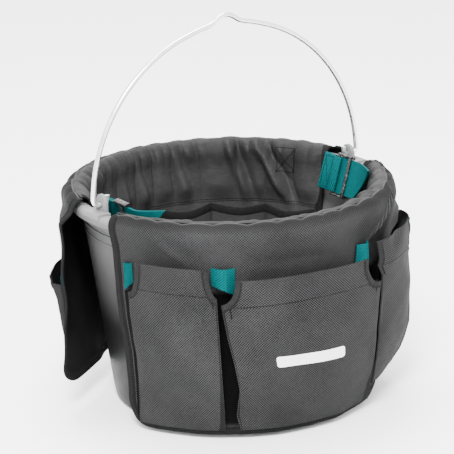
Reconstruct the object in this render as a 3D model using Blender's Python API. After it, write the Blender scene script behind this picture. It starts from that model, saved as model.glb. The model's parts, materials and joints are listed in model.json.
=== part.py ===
"""Tool bucket organizer: a two-part cloth organizer hung over the rim of a plastic bucket.

Frame: origin at the centre of the bucket's underside, +Z up, the bail's pivots on the X axis, front at -Y.
Angles called bearing are measured in degrees from the middle of a half (front or back), seen from above,
so 0 is the middle of the front or back and +/-90 are the bail's pivots.
"""

import math

import bmesh
import bpy

# Bucket
RIM_TOP = 0.214
RIM_SKIRT = 0.204
RIM_RADIUS = 0.161
WALL_TOP_RADIUS = 0.149
WALL_FOOT_RADIUS = 0.1225
WALL = 0.0025
FOOT_HEIGHT = 0.012
RIB_HEIGHT = 0.194
BUCKET_SEGMENTS = 40
EAR_X = 0.148
EAR_THICKNESS = 0.004
EAR_WIDTH = 0.018
EAR_TOP = 0.232
EAR_HOLE_RADIUS = 0.0032
PIVOT_Z = 0.222
# Bail
BAIL_RADIUS = 0.1575
WIRE_RADIUS = 0.0025
HOOK_X = 0.1424
HOOK_RISE = 0.008
# Cloth
HALF_ANGLE = 77.5
CORNER_ANGLE = 9.0
CORNER_HEIGHT = 0.025
APRON_CLOTH = 0.0024
POCKET_CLOTH = 0.0016
LINER_CLOTH = 0.0014
GAP = 0.0004
POCKET_GAP = 0.0015
CREST_RADIUS = 0.1575
CREST_Z = 0.2195
PIPING_RADIUS = 0.0019
BINDING_RADIUS = 0.0022
FRONT_HEM = 0.006
BACK_HEM = 0.030
FLAP_BEARING = 48.0
FLAP_EXTRA = 3.0
FLAP_RADIUS = 0.1820
FLAP_TOP = 0.212
# Outer pockets
MOUTH_Z = 0.176
DIVIDE_LEFT = -38.0
DIVIDE_RIGHT = 22.0
DIVIDE_END = 54.0
DIVIDE_GAP = 0.6
FLAP_SAG = 0.027
NOTCH_WIDTH = 0.014
NOTCH_DEPTH = 0.028
GUSSET = 0.022
TAB_HEIGHT = 0.027
TAB_DEPTH = 0.010
TAB_SPREAD = 2.3
TAB_CLOTH = 0.0014
# Inner pockets
INNER_STEP = 25.0
INNER_COUNT = 6
INNER_MOUTH = 0.157
INNER_SAG = 0.005
INNER_FOOT = 0.050
INNER_BULGE = 0.012
# Side straps and their sliders
WEBBING = 0.0018
STRAP_TOP = (0.1345, 0.2225)
STRAP_FOOT = (0.1235, 0.1865)
STRAP_BACK_Y = 0.017
STRAP_TURN_Y = -0.037
STRAP_FRONT_Y = -0.070
STRAP_END_TOP = (0.1165, 0.2250)
STRAP_END_FOOT = (0.1205, 0.1880)
LAP_FRONT_Y = -0.001
SLIDER_Y = -0.015
SLIDER_LENGTH = 0.022
SLIDER_BAR = 0.0017
SLIDER_POST = 0.0028
SLIDER_CLEARANCE = 0.0004


def clear_scene():
    for obj in list(bpy.data.objects):
        bpy.data.objects.remove(obj)


def material(name, colour, roughness, metallic=0.0):
    made = bpy.data.materials.new(name)
    made.use_nodes = True
    shader = made.node_tree.nodes["Principled BSDF"]
    shader.inputs["Base Color"].default_value = (*colour, 1.0)
    shader.inputs["Roughness"].default_value = roughness
    shader.inputs["Metallic"].default_value = metallic
    return made


def smoothstep(value):
    value = min(1.0, max(0.0, value))
    return value * value * (3.0 - 2.0 * value)


def along(points, height):
    """The radius of an outline of (radius, height) points at a height."""
    for (r0, z0), (r1, z1) in zip(points, points[1:]):
        if height <= z1 or (r1, z1) == points[-1]:
            return r0 + (r1 - r0) * (height - z0) / (z1 - z0)
    return points[-1][0]


def add_object(name, mesh, made_of, origin=(0.0, 0.0, 0.0)):
    mesh.shade_smooth()
    mesh.set_sharp_from_angle(angle=math.radians(35))
    mesh.materials.append(made_of)
    obj = bpy.data.objects.new(name, mesh)
    obj.location = origin
    bpy.context.scene.collection.objects.link(obj)
    return obj


def place(bearing, radius, height, side):
    """A point at a bearing: side is -1 on the front half and 1 on the back half."""
    turn = math.radians(bearing)
    return (-side * radius * math.sin(turn), side * radius * math.cos(turn), height)


def panel(name, surface, columns, rows, cloth, made_of, offset=-1.0):
    """A cloth panel: surface(u, v) is its outer face, with columns of u and rows of v from 0 to 1."""
    points = [surface(u, v) for v in rows for u in columns]
    wide = len(columns)
    faces = []
    for row in range(len(rows) - 1):
        for column in range(wide - 1):
            corner = row * wide + column
            faces.append((corner, corner + 1, corner + wide + 1, corner + wide))
    mesh = bpy.data.meshes.new(name)
    mesh.from_pydata(points, [], faces)
    obj = add_object(name, mesh, made_of)
    thicken = obj.modifiers.new("cloth", "SOLIDIFY")
    thicken.thickness = cloth
    thicken.offset = offset
    return obj


def tube(name, points, radius, made_of, resolution=1, origin=(0.0, 0.0, 0.0)):
    curve = bpy.data.curves.new(name, "CURVE")
    curve.dimensions = "3D"
    curve.bevel_depth = radius
    curve.bevel_resolution = resolution
    curve.use_fill_caps = True
    spline = curve.splines.new("POLY")
    spline.points.add(len(points) - 1)
    for target, point in zip(spline.points, points):
        target.co = (point[0] - origin[0], point[1] - origin[1], point[2] - origin[2], 1.0)
    spline.use_smooth = True
    curve.materials.append(made_of)
    obj = bpy.data.objects.new(name, curve)
    obj.location = origin
    bpy.context.scene.collection.objects.link(obj)
    return obj


def box_mesh(name, low, high):
    mesh = bpy.data.meshes.new(name)
    shape = bmesh.new()
    bmesh.ops.create_cube(shape, size=1.0)
    for vertex in shape.verts:
        vertex.co = [a + (b - a) * (c + 0.5) for a, b, c in zip(low, high, vertex.co)]
    shape.to_mesh(mesh)
    shape.free()
    return mesh


def helper(name, mesh, like=None):
    obj = bpy.data.objects.new(name, mesh)
    if like:
        obj.location = like.location
        obj.rotation_euler = like.rotation_euler
    obj.hide_render = True
    obj.display_type = "WIRE"
    bpy.context.scene.collection.objects.link(obj)
    return obj


def boolean(obj, other, operation):
    step = obj.modifiers.new(other.name, "BOOLEAN")
    step.operation = operation
    step.object = other
    step.solver = "EXACT"


def steps(count):
    return [index / count for index in range(count + 1)]


# ---------------------------------------------------------------- bucket and bail


def wall_radius(height):
    share = (height - FOOT_HEIGHT) / (RIM_SKIRT - FOOT_HEIGHT)
    return WALL_FOOT_RADIUS + (WALL_TOP_RADIUS - WALL_FOOT_RADIUS) * share


def bucket_profile():
    """The bucket's section as (radius, height), from the underside's middle up and over the rim."""
    outer = [(0.0, 0.0), (WALL_FOOT_RADIUS - 0.010, 0.0), (WALL_FOOT_RADIUS - 0.003, 0.003)]
    outer += [(WALL_FOOT_RADIUS, FOOT_HEIGHT), (wall_radius(RIB_HEIGHT), RIB_HEIGHT)]
    outer += [(wall_radius(RIB_HEIGHT) + 0.0035, RIB_HEIGHT + 0.0008)]
    outer += [(WALL_TOP_RADIUS + 0.0035, RIM_SKIRT + 0.004), (RIM_RADIUS - 0.0018, RIM_SKIRT + 0.004)]
    outer += [(RIM_RADIUS - 0.0018, RIM_SKIRT), (RIM_RADIUS, RIM_SKIRT), (RIM_RADIUS, RIM_TOP - 0.002)]
    outer += [(RIM_RADIUS - 0.002, RIM_TOP)]
    inner = [(WALL_TOP_RADIUS - WALL + 0.0015, RIM_TOP), (WALL_TOP_RADIUS - WALL, RIM_TOP - 0.002)]
    inner += [(wall_radius(FOOT_HEIGHT) - WALL, FOOT_HEIGHT), (WALL_FOOT_RADIUS - 0.012, WALL), (0.0, WALL)]
    return outer + inner


def turned_mesh(name, profile, segments):
    """A full turn of a profile whose first and last points lie on the axis."""
    shape = bmesh.new()
    first = shape.verts.new((0.0, 0.0, profile[0][1]))
    last = shape.verts.new((0.0, 0.0, profile[-1][1]))
    rings = []
    for radius, height in profile[1:-1]:
        ring = []
        for index in range(segments):
            turn = 2.0 * math.pi * index / segments
            ring.append(shape.verts.new((radius * math.cos(turn), radius * math.sin(turn), height)))
        rings.append(ring)
    for index in range(segments):
        after = (index + 1) % segments
        shape.faces.new((first, rings[0][after], rings[0][index]))
        shape.faces.new((last, rings[-1][index], rings[-1][after]))
        for lower, upper in zip(rings, rings[1:]):
            shape.faces.new((lower[index], lower[after], upper[after], upper[index]))
    mesh = bpy.data.meshes.new(name)
    shape.to_mesh(mesh)
    shape.free()
    return mesh


def ear_mesh(name, sign):
    """An upright ear with a rounded top, standing on a block that crosses the rim."""
    arc = [math.pi * index / 8 for index in range(9)]
    centre = EAR_TOP - EAR_WIDTH / 2
    outline = [(EAR_WIDTH / 2 * math.cos(t), centre + EAR_WIDTH / 2 * math.sin(t)) for t in arc]
    outline += [(-EAR_WIDTH / 2, RIM_TOP - 0.004), (EAR_WIDTH / 2, RIM_TOP - 0.004)]
    shape = bmesh.new()
    near = EAR_X - EAR_THICKNESS / 2
    face = shape.faces.new([shape.verts.new((sign * near, y, z)) for y, z in outline])
    grown = bmesh.ops.extrude_face_region(shape, geom=[face])
    for item in grown["geom"]:
        if isinstance(item, bmesh.types.BMVert):
            item.co.x += sign * EAR_THICKNESS
    bmesh.ops.recalc_face_normals(shape, faces=shape.faces)
    mesh = bpy.data.meshes.new(name)
    shape.to_mesh(mesh)
    shape.free()
    return mesh


def hole_mesh(name, sign):
    mesh = bpy.data.meshes.new(name)
    shape = bmesh.new()
    bmesh.ops.create_cone(
        shape, cap_ends=True, segments=16, radius1=EAR_HOLE_RADIUS, radius2=EAR_HOLE_RADIUS, depth=0.012
    )
    for vertex in shape.verts:
        x, y, z = vertex.co
        vertex.co = (sign * EAR_X + z, y, PIVOT_Z - x)
    bmesh.ops.recalc_face_normals(shape, faces=shape.faces)
    shape.to_mesh(mesh)
    shape.free()
    return mesh


def make_bucket(plastic):
    shell = turned_mesh("bucket_shell", bucket_profile(), BUCKET_SEGMENTS)
    bucket = add_object("bucket_shell", shell, plastic)
    for side, sign in (("left", -1), ("right", 1)):
        ends = sorted((sign * (EAR_X - 0.0012), sign * (RIM_RADIUS + 0.0010)))
        low = (ends[0], -0.014, RIM_SKIRT + 0.002)
        high = (ends[1], 0.014, RIM_TOP + 0.0025)
        block = box_mesh(f"ear_block_{side}", low, high)
        boolean(bucket, helper(f"ear_block_{side}", block), "UNION")
        boolean(bucket, helper(f"ear_{side}", ear_mesh(f"ear_{side}", sign)), "UNION")
        boolean(bucket, helper(f"ear_hole_{side}", hole_mesh(f"ear_hole_{side}", sign)), "DIFFERENCE")


def bail_points():
    """The right half of the wire, from its hook through the ear and up to the kink at the top."""
    bend = 0.005
    points = [(HOOK_X, PIVOT_Z + HOOK_RISE), (HOOK_X, PIVOT_Z + 0.0035)]
    points += [(HOOK_X + 0.0012, PIVOT_Z + 0.0008), (HOOK_X + 0.0040, PIVOT_Z)]
    points += [(BAIL_RADIUS - bend, PIVOT_Z), (BAIL_RADIUS - 0.0015, PIVOT_Z + 0.0015)]
    points += [(BAIL_RADIUS, PIVOT_Z + bend)]
    kink_start = 72.0
    for index in range(1, 15):
        turn = math.radians(kink_start * index / 14)
        points.append((BAIL_RADIUS * math.cos(turn), PIVOT_Z + BAIL_RADIUS * math.sin(turn)))
    points += [(0.033, 0.3765), (0.017, 0.3805), (0.0095, 0.3850), (0.0035, 0.3877), (0.0, 0.3880)]
    return points


def make_bail(steel):
    right = bail_points()
    left = [(-x, z) for x, z in reversed(right[:-1])]
    points = [(x, 0.0, z) for x, z in right + left]
    tube("bail_wire", points, WIRE_RADIUS, steel, resolution=2, origin=(0.0, 0.0, PIVOT_Z))


# ---------------------------------------------------------------- cloth surfaces

APRON_OUTLINE = [(0.1434, 0.005), (0.1630, 0.190), (0.1645, 0.203), (0.1652, 0.209)]
COLLAR_OUTLINE = [(0.1640, 0.2140), (0.1605, 0.2178)]
BACK_OUTLINE = [(0.1380, 0.029), (0.1630, 0.190), (0.1645, 0.203), (0.1652, 0.209)]
LINER_OUTLINE = [(0.1205, 0.042), (0.1295, 0.095), (0.1380, 0.155), (0.1445, 0.203)]
LINER_COLLAR = [(0.1450, 0.2100), (0.1456, 0.2146), (0.1490, 0.2176), (0.1543, 0.2184)]


def flare(bearing, height):
    """How far a flap's free end stands out from the bucket, on the back half."""
    share = max(0.0, (abs(bearing) - FLAP_BEARING) / (HALF_ANGLE + FLAP_EXTRA - FLAP_BEARING))
    return share * share * smoothstep((FLAP_TOP - height) / 0.014)


def apron_radius(bearing, height, side):
    if side < 0:
        return along(APRON_OUTLINE, height)
    base = along(BACK_OUTLINE, height)
    return base + (FLAP_RADIUS - base) * flare(bearing, height)


def half_angle(side):
    return HALF_ANGLE if side < 0 else HALF_ANGLE + FLAP_EXTRA


def hem_height(bearing, side):
    base = FRONT_HEM if side < 0 else BACK_HEM
    inside = (abs(bearing) - half_angle(side) + CORNER_ANGLE) / CORNER_ANGLE
    if inside <= 0.0:
        return base
    return base + CORNER_HEIGHT * (1.0 - math.sqrt(max(0.0, 1.0 - inside * inside)))


def make_apron(name, side, cloth):
    edge = half_angle(side)
    straight = edge - CORNER_ANGLE
    corner = [straight + CORNER_ANGLE * share for share in (0.45, 0.8, 1.0)]
    middle = [straight * (2.0 * share - 1.0) for share in steps(24)]
    bearings = [-angle for angle in reversed(corner)] + middle + corner
    top = APRON_OUTLINE[-1][1]
    rise = [0.0, 0.18, 0.38, 0.58, 0.78, 0.92, 0.968, 1.0]

    def surface(u, v):
        if v > 1.0:
            radius, height = COLLAR_OUTLINE[int(v) - 2]
            return place(u, radius, height, side)
        height = hem_height(u, side) + (top - hem_height(u, side)) * v
        return place(u, apron_radius(u, height, side), height, side)

    panel(name, surface, bearings, rise + [2.0, 3.0], APRON_CLOTH, cloth)


def make_edge_binding(name, side, tape):
    """The tape round a half's two free edges and its hem, just outside the cloth's edge."""
    edge = half_angle(side)
    straight = edge - CORNER_ANGLE
    hem = FRONT_HEM if side < 0 else BACK_HEM
    reach = BINDING_RADIUS + 0.0012
    path = []
    for share in steps(7):
        height = 0.206 + (hem + CORNER_HEIGHT - 0.206) * share
        path.append((edge, height, 1.0, 0.0))
    for index in range(1, 6):
        turn = math.pi / 2 * index / 5
        bearing = straight + CORNER_ANGLE * math.cos(turn)
        path.append((bearing, hem + CORNER_HEIGHT * (1.0 - math.sin(turn)), math.cos(turn), math.sin(turn)))
    path += [(straight * (1.0 - share), hem, 0.0, 1.0) for share in steps(9)[1:-1]]
    path += [(0.0, hem, 0.0, 1.0)]
    path += [(-bearing, height, -out, down) for bearing, height, out, down in reversed(path[:-1])]
    points = []
    for bearing, height, out, down in path:
        radius = apron_radius(bearing, height, side)
        shifted = bearing + math.degrees(out * reach / radius)
        lowered = height - down * reach
        middle = apron_radius(shifted, lowered, side) - APRON_CLOTH / 2
        points.append(place(shifted, middle, lowered, side))
    tube(name, points, BINDING_RADIUS, tape)


def make_liner(name, side, cloth):
    bearings = [HALF_ANGLE * (2.0 * share - 1.0) for share in steps(22)]
    outline = LINER_OUTLINE + LINER_COLLAR

    def surface(u, v):
        radius, height = outline[v]
        return place(u, radius, height, side)

    panel(name, surface, bearings, range(len(outline)), LINER_CLOTH, cloth)


def make_piping(name, side, tape):
    bearings = [(HALF_ANGLE - 1.0) * (2.0 * share - 1.0) for share in steps(24)]
    points = [place(bearing, CREST_RADIUS, CREST_Z, side) for bearing in bearings]
    tube(name, points, PIPING_RADIUS, tape)


# ---------------------------------------------------------------- outer pockets


def bite(distance):
    """How far a pocket's mouth drops at a distance from its side edge: a round notch."""
    share = min(1.0, distance / NOTCH_WIDTH)
    return NOTCH_DEPTH * math.sqrt(1.0 - share * share)


def pocket_columns(first, last):
    """Bearings across a pocket, closer together over the notches at its two sides."""
    side = math.degrees(NOTCH_WIDTH / 0.170)
    near = [side * share for share in (0.0, 0.4, 0.75, 0.93, 1.0)]
    count = max(4, round((last - first) / 5.5))
    middle = [first + side + (last - first - 2.0 * side) * share for share in steps(count)[1:-1]]
    return [first + angle for angle in near] + middle + [last - angle for angle in reversed(near)]


def make_pocket(name, side, first, last, foot, mouth, swell, foot_rise, cloth):
    """A cloth pocket on an apron: swell is how far it stands out and foot_rise where it is fully out."""
    columns = pocket_columns(first, last)

    def surface(u, v):
        distance = math.radians(min(u - first, last - u)) * 0.170
        top = mouth(u) - bite(distance)
        height = foot + (top - foot) * v
        rise = math.sin(math.pi / 2 * min(1.0, (height - foot) / foot_rise))
        out = swell * rise * (1.0 - max(0.0, 1.0 - distance / GUSSET) ** 3)
        return place(u, apron_radius(u, height, side) + POCKET_GAP + POCKET_CLOTH + out, height, side)

    panel(name, surface, columns, steps(7), POCKET_CLOTH, cloth)


def make_tab(name, side, bearing, spread, foot, webbing):
    """A band of webbing folded to a V between two pockets, its fold against the apron."""

    def surface(u, v):
        height = foot + TAB_HEIGHT * v
        radius = apron_radius(bearing, height, side) + 0.0014 + TAB_DEPTH * abs(u)
        return place(bearing + spread * u, radius, height, side)

    panel(name, surface, [-1.0, 0.0, 1.0], [0.0, 1.0], TAB_CLOTH, webbing, offset=0.0)


# ---------------------------------------------------------------- inner pockets


def make_inner_pockets(name, side, cloth):
    """A strip of pockets on a liner, stitched down between them, with sagging mouths."""
    half = INNER_STEP * INNER_COUNT / 2.0
    bearings = [half * (2.0 * share - 1.0) for share in steps(INNER_COUNT * 4)]

    def surface(u, v):
        bow = abs(math.sin(math.pi * (u + half) / INNER_STEP))
        top = INNER_MOUTH - INNER_SAG * bow
        height = INNER_FOOT + (top - INNER_FOOT) * v
        out = INNER_BULGE * bow * math.sin(math.pi / 2 * min(1.0, v / 0.7))
        radius = along(LINER_OUTLINE, height) - LINER_CLOTH - 2.0 * GAP - out
        return place(u, radius, height, side)

    panel(name, surface, bearings, steps(5), LINER_CLOTH, cloth)


# ---------------------------------------------------------------- side straps


def strap_frame(sign):
    """Middle point and lean of a side strap's band."""
    x = (STRAP_TOP[0] + STRAP_FOOT[0]) / 2
    z = (STRAP_TOP[1] + STRAP_FOOT[1]) / 2
    lean = math.atan2(STRAP_TOP[0] - STRAP_FOOT[0], STRAP_TOP[1] - STRAP_FOOT[1])
    return (sign * x, z), sign * lean


def strap_width():
    return math.dist(STRAP_TOP, STRAP_FOOT)


def add_strap_piece(name, sign, low, high, made_of):
    """A block in a strap's own frame: x through the band, y along it, z across it."""
    (x, z), lean = strap_frame(sign)
    obj = add_object(name, box_mesh(name, low, high), made_of, origin=(x, 0.0, z))
    obj.rotation_euler = (0.0, lean, 0.0)
    return obj


def between(start, end, share):
    return [a + (b - a) * share for a, b in zip(start, end)]


def make_strap(side_name, sign, webbing):
    """A band that runs straight through its slider and then turns to lie against the front half's liner."""
    half = strap_width() / 2
    thick = WEBBING / 2
    turned = [STRAP_TURN_Y + (STRAP_FRONT_Y - STRAP_TURN_Y) * share for share in steps(5)]

    def surface(u, v):
        share = smoothstep((STRAP_TURN_Y - u) / (STRAP_TURN_Y - STRAP_FRONT_Y))
        top = between(STRAP_TOP, STRAP_END_TOP, share)
        foot = between(STRAP_FOOT, STRAP_END_FOOT, share)
        x, z = between(foot, top, v)
        return (sign * x, u, z)

    panel(f"strap_{side_name}", surface, [STRAP_BACK_Y] + turned, [0.0, 1.0], WEBBING, webbing, offset=0.0)
    inner = -sign * (thick + GAP)
    outer = -sign * (thick + GAP + WEBBING)
    low = (min(inner, outer), LAP_FRONT_Y, -half)
    high = (max(inner, outer), STRAP_BACK_Y, half)
    add_strap_piece(f"strap_lap_{side_name}", sign, low, high, webbing)


def make_slider(side_name, sign, steel):
    """A three-bar slider: the band runs behind its two outer bars and in front of its middle bar."""
    half = strap_width() / 2 + SLIDER_CLEARANCE + SLIDER_POST
    slot = WEBBING / 2 + SLIDER_CLEARANCE
    thick = slot + SLIDER_BAR
    long = SLIDER_LENGTH / 2
    (x, z), lean = strap_frame(sign)
    name = f"slider_{side_name}"
    blank = box_mesh(name, (-thick, -long, -half), (thick, long, half))
    body = add_object(name, blank, steel, (x, SLIDER_Y, z))
    body.rotation_euler = (0.0, lean, 0.0)
    opening = half - SLIDER_POST
    cut = box_mesh(f"{name}_slot", (-slot, -0.05, -opening), (slot, 0.05, opening))
    boolean(body, helper(f"{name}_slot", cut, body), "DIFFERENCE")
    inner = sorted((-sign * (slot - 0.0002), -sign * 0.02))
    outer = sorted((sign * (slot - 0.0002), sign * 0.02))
    windows = {"window": (inner, -long + 0.0045, long - 0.0045)}
    windows["front"] = (outer, -0.05, -0.0032)
    windows["back"] = (outer, 0.0032, 0.05)
    for word, (across, start, end) in windows.items():
        tall = opening - 0.0006
        cut = box_mesh(f"{name}_{word}", (across[0], start, -tall), (across[1], end, tall))
        boolean(body, helper(f"{name}_{word}", cut, body), "DIFFERENCE")


# ---------------------------------------------------------------- assembly

FRONT, BACK = -1, 1


def main():
    clear_scene()
    plastic = material("bucket_plastic", (0.26, 0.26, 0.27), 0.35)
    steel = material("bail_steel", (0.78, 0.79, 0.80), 0.25, 1.0)
    dark_steel = material("slider_steel", (0.10, 0.10, 0.11), 0.35, 1.0)
    cloth = material("outer_cloth", (0.09, 0.09, 0.092), 0.85)
    lining = material("liner_cloth", (0.055, 0.055, 0.057), 0.7)
    tape = material("binding_tape", (0.02, 0.02, 0.02), 0.8)
    webbing = material("teal_webbing", (0.0, 0.30, 0.31), 0.75)

    make_bucket(plastic)
    make_bail(steel)
    for word, side in (("front", FRONT), ("back", BACK)):
        make_apron(f"{word}_apron", side, cloth)
        make_edge_binding(f"{word}_edge_binding", side, tape)
        make_liner(f"{word}_liner", side, lining)
        make_piping(f"{word}_rim_piping", side, tape)
        make_inner_pockets(f"{word}_inner_pockets", side, lining)

    def level(bearing):
        return MOUTH_Z

    def flap_mouth(bearing):
        return MOUTH_Z - FLAP_SAG * smoothstep((bearing - FLAP_BEARING) / (HALF_ANGLE - FLAP_BEARING))

    left = (DIVIDE_LEFT - DIVIDE_GAP, DIVIDE_LEFT + DIVIDE_GAP)
    right = (DIVIDE_RIGHT - DIVIDE_GAP, DIVIDE_RIGHT + DIVIDE_GAP)
    end = (DIVIDE_END - DIVIDE_GAP, DIVIDE_END + DIVIDE_GAP)
    make_pocket("front_pocket_left", FRONT, -72.5, left[0], 0.010, level, 0.012, 0.100, cloth)
    make_pocket("front_pocket_centre", FRONT, left[1], right[0], 0.010, level, 0.019, 0.110, cloth)
    make_pocket("front_pocket_right", FRONT, right[1], end[0], 0.030, level, 0.0215, 0.060, cloth)
    make_pocket("front_pocket_end", FRONT, end[1], 72.5, 0.030, level, 0.0165, 0.060, cloth)
    make_pocket("back_pocket_right", BACK, -75.5, left[0], 0.040, level, 0.0115, 0.100, cloth)
    make_pocket("back_pocket_centre", BACK, left[1], right[0], 0.034, level, 0.019, 0.110, cloth)
    make_pocket("back_pocket_left", BACK, right[1], end[0], 0.040, level, 0.015, 0.100, cloth)
    make_pocket("back_pocket_end", BACK, end[1], 78.5, 0.060, flap_mouth, 0.013, 0.080, cloth)
    tab_foot = MOUTH_Z - NOTCH_DEPTH + 0.0045
    for word, side in (("front", FRONT), ("back", BACK)):
        divides = (DIVIDE_LEFT, DIVIDE_RIGHT) if side == FRONT else (DIVIDE_RIGHT, DIVIDE_LEFT)
        make_tab(f"{word}_tab_inner_left", side, divides[0], TAB_SPREAD, tab_foot, webbing)
        make_tab(f"{word}_tab_inner_right", side, divides[1], TAB_SPREAD, tab_foot, webbing)
    make_tab("front_tab_outer_left", FRONT, -73.4, 1.3, tab_foot, webbing)
    make_tab("front_tab_outer_right", FRONT, 73.4, 1.3, tab_foot, webbing)
    make_tab("back_tab_outer_right", BACK, -79.2, 0.9, tab_foot, webbing)
    make_tab("back_tab_outer_left", BACK, 79.2, 0.9, tab_foot - 0.024, webbing)
    for side_name, sign in (("left", -1), ("right", 1)):
        make_strap(side_name, sign, webbing)
        make_slider(side_name, sign, dark_steel)


main()
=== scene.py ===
"""Looks of the tool bucket organizer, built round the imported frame.

Shapes are worked out in millimetres and turned into metres where a mesh is made. A bearing is an angle in
degrees from the middle of a half, and side is -1 on the front half and 1 on the back half, as in the CAD.
"""

import json
import math

import bpy
import numpy as np
from mathutils import Matrix, Vector


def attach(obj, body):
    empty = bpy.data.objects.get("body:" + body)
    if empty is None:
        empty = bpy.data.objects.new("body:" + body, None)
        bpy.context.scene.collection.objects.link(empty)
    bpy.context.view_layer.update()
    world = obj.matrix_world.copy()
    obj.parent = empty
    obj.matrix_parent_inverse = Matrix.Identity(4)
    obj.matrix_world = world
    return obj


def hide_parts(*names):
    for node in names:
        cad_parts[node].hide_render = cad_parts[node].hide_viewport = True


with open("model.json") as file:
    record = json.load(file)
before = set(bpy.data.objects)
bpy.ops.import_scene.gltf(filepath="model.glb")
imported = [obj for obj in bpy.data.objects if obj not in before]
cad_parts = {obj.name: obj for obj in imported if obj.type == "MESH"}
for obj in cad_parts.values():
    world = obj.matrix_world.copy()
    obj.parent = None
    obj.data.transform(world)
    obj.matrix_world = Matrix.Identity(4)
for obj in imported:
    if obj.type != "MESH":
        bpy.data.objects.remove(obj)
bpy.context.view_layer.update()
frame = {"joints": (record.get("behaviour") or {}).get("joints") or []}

MM = 0.001
FRONT, BACK = -1, 1
PIVOT_Z = frame["joints"][0]["pos_m"][2] / MM

# Bearings at which the front half and the back half's flaps end.
HALF_ANGLE = 77.5
FLAP_ANGLE = 80.5

# The flaps leave the bucket from FLAP_START on and below FLAP_TOP, and stand out to FLAP_RADIUS.
FLAP_START = 48.0
FLAP_RADIUS = 182.0
FLAP_TOP = 212.0

# The rounded lower corners of the aprons.
CORNER_ANGLE = 9.0
CORNER_HEIGHT = 25.0

# The radii at which the curved cloths are laid flat.
APRON_FLAT = 160.0
LINER_FLAT = 145.0
INNER_FLAT = 130.0
POCKET_FLAT = 172.0

# The inner pockets: six between stitched lines, from a straight foot up to their mouths.
INNER_STEP = 25.0
INNER_EDGE = 3 * INNER_STEP
INNER_FOOT = 50.0
INNER_MOUTH = 155.5

# Thicknesses.
APRON_CLOTH = 1.3
LINING_CLOTH = 0.9
POCKET_CLOTH = 1.1
TAB_CLOTH = 1.3
WEBBING = 1.8

# (x, z) of a side strap's edges where it runs through its slider, and at its front end.
STRAP_TOP = (134.5, 222.5)
STRAP_FOOT = (123.5, 186.5)
STRAP_END_TOP = (120.5, 224.0)
STRAP_END_FOOT = (121.5, 188.0)
SLIDER_Y = -15.0
BAIL_RADIUS = 157.5
WIRE_RADIUS = 2.5


# ---------------------------------------------------------------- numbers and curves


def smooth(value):
    value = np.clip(value, 0.0, 1.0)
    return value * value * (3.0 - 2.0 * value)


def spot(bearing, radius, height, side):
    """Points in millimetres at bearings, radii and heights."""
    turn, radius, height = np.broadcast_arrays(np.radians(bearing), radius, height)
    return np.stack([-side * radius * np.sin(turn), side * radius * np.cos(turn), height], -1)


def waves(x, y, seed, size):
    """Smooth irregular unevenness from -1 to 1, with features of about size millimetres."""
    chance = np.random.default_rng(seed)
    total = 0.0
    for _ in range(9):
        heading = chance.uniform(0, 2 * math.pi)
        length = size * chance.uniform(0.7, 1.9)
        phase = chance.uniform(0, 2 * math.pi)
        travel = x * math.cos(heading) + y * math.sin(heading)
        total = total + np.sin(2 * math.pi * travel / length + phase)
    return total / 4.5


def fold(x, y, start, end, width):
    """A soft ridge from start to end, 1 along its line and 0 away from it."""
    start, end = np.array(start, float), np.array(end, float)
    along = end - start
    length = np.hypot(*along)
    along = along / length
    s = (x - start[0]) * along[0] + (y - start[1]) * along[1]
    d = (x - start[0]) * along[1] - (y - start[1]) * along[0]
    ends = smooth(s / (0.35 * length)) * smooth((length - s) / (0.35 * length))
    return np.exp(-((d / width) ** 2)) * ends


def arc_length(path):
    """The distance along a path at each of its points."""
    return np.concatenate([[0], np.cumsum(np.linalg.norm(np.diff(path, axis=0), axis=1))])


def spaced(path, count):
    """A path read again at count points, evenly along it."""
    length = arc_length(path)
    at = np.linspace(0, length[-1], count)
    return np.stack([np.interp(at, length, column) for column in path.T], 1)


def resample(path, spacing):
    return spaced(path, max(2, int(round(arc_length(path)[-1] / spacing)) + 1))


def unit(vectors):
    return vectors / np.maximum(np.linalg.norm(vectors, axis=-1, keepdims=True), 1e-9)


def catmull(points, count):
    """A smooth curve through points, as count points spaced evenly along it."""
    p = np.array(points, float)
    p = np.vstack([2 * p[0] - p[1], p, 2 * p[-1] - p[-2]])
    out = []
    for a, b, c, d in zip(p, p[1:], p[2:], p[3:]):
        t = np.linspace(0, 1, 24, endpoint=False)[:, None]
        square, cube = 2 * a - 5 * b + 4 * c - d, 3 * b - a - 3 * c + d
        out.append(0.5 * (2 * b + (c - a) * t + square * t**2 + cube * t**3))
    return spaced(np.vstack([*out, p[-2:-1]]), count)


class Section:
    """A cloth's section in (radius, height), read at a distance along it from its foot."""

    def __init__(self, points):
        self.line = catmull(points, 600)
        self.at = arc_length(self.line)
        self.length = self.at[-1]
        tangent = unit(np.gradient(self.line, axis=0))
        self.normal = np.stack([tangent[:, 1], -tangent[:, 0]], 1)

    def __call__(self, v):
        """Radius, height and the outward direction's radius and height."""
        return [np.interp(v, self.at, column) for column in (*self.line.T, *self.normal.T)]

    def height_to_v(self, height):
        rising = self.line[:, 1] <= np.maximum.accumulate(self.line[:, 1])
        return np.interp(height, self.line[rising, 1], self.at[rising])


# ---------------------------------------------------------------- meshes


def add_mesh(name, points, faces, cloth, material, body="bucket", smooth_angle=60):
    """A mesh from points in millimetres. cloth holds each point's place on the flat cloth, for its weave.

    Edges sharper than smooth_angle stay sharp. With None, all are smooth.
    """
    mesh = bpy.data.meshes.new(name)
    faces = [[int(corner) for corner in face] for face in faces]
    mesh.from_pydata((np.asarray(points, float) * MM).tolist(), [], faces)
    mesh.update()
    weave = mesh.attributes.new("cloth", "FLOAT_VECTOR", "POINT")
    weave.data.foreach_set("vector", np.asarray(cloth, np.float32).ravel())
    mesh.shade_smooth()
    if smooth_angle is not None:
        mesh.set_sharp_from_angle(angle=math.radians(smooth_angle))
    mesh.materials.append(material)
    obj = bpy.data.objects.new(name, mesh)
    bpy.context.scene.collection.objects.link(obj)
    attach(obj, body)
    return obj


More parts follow.
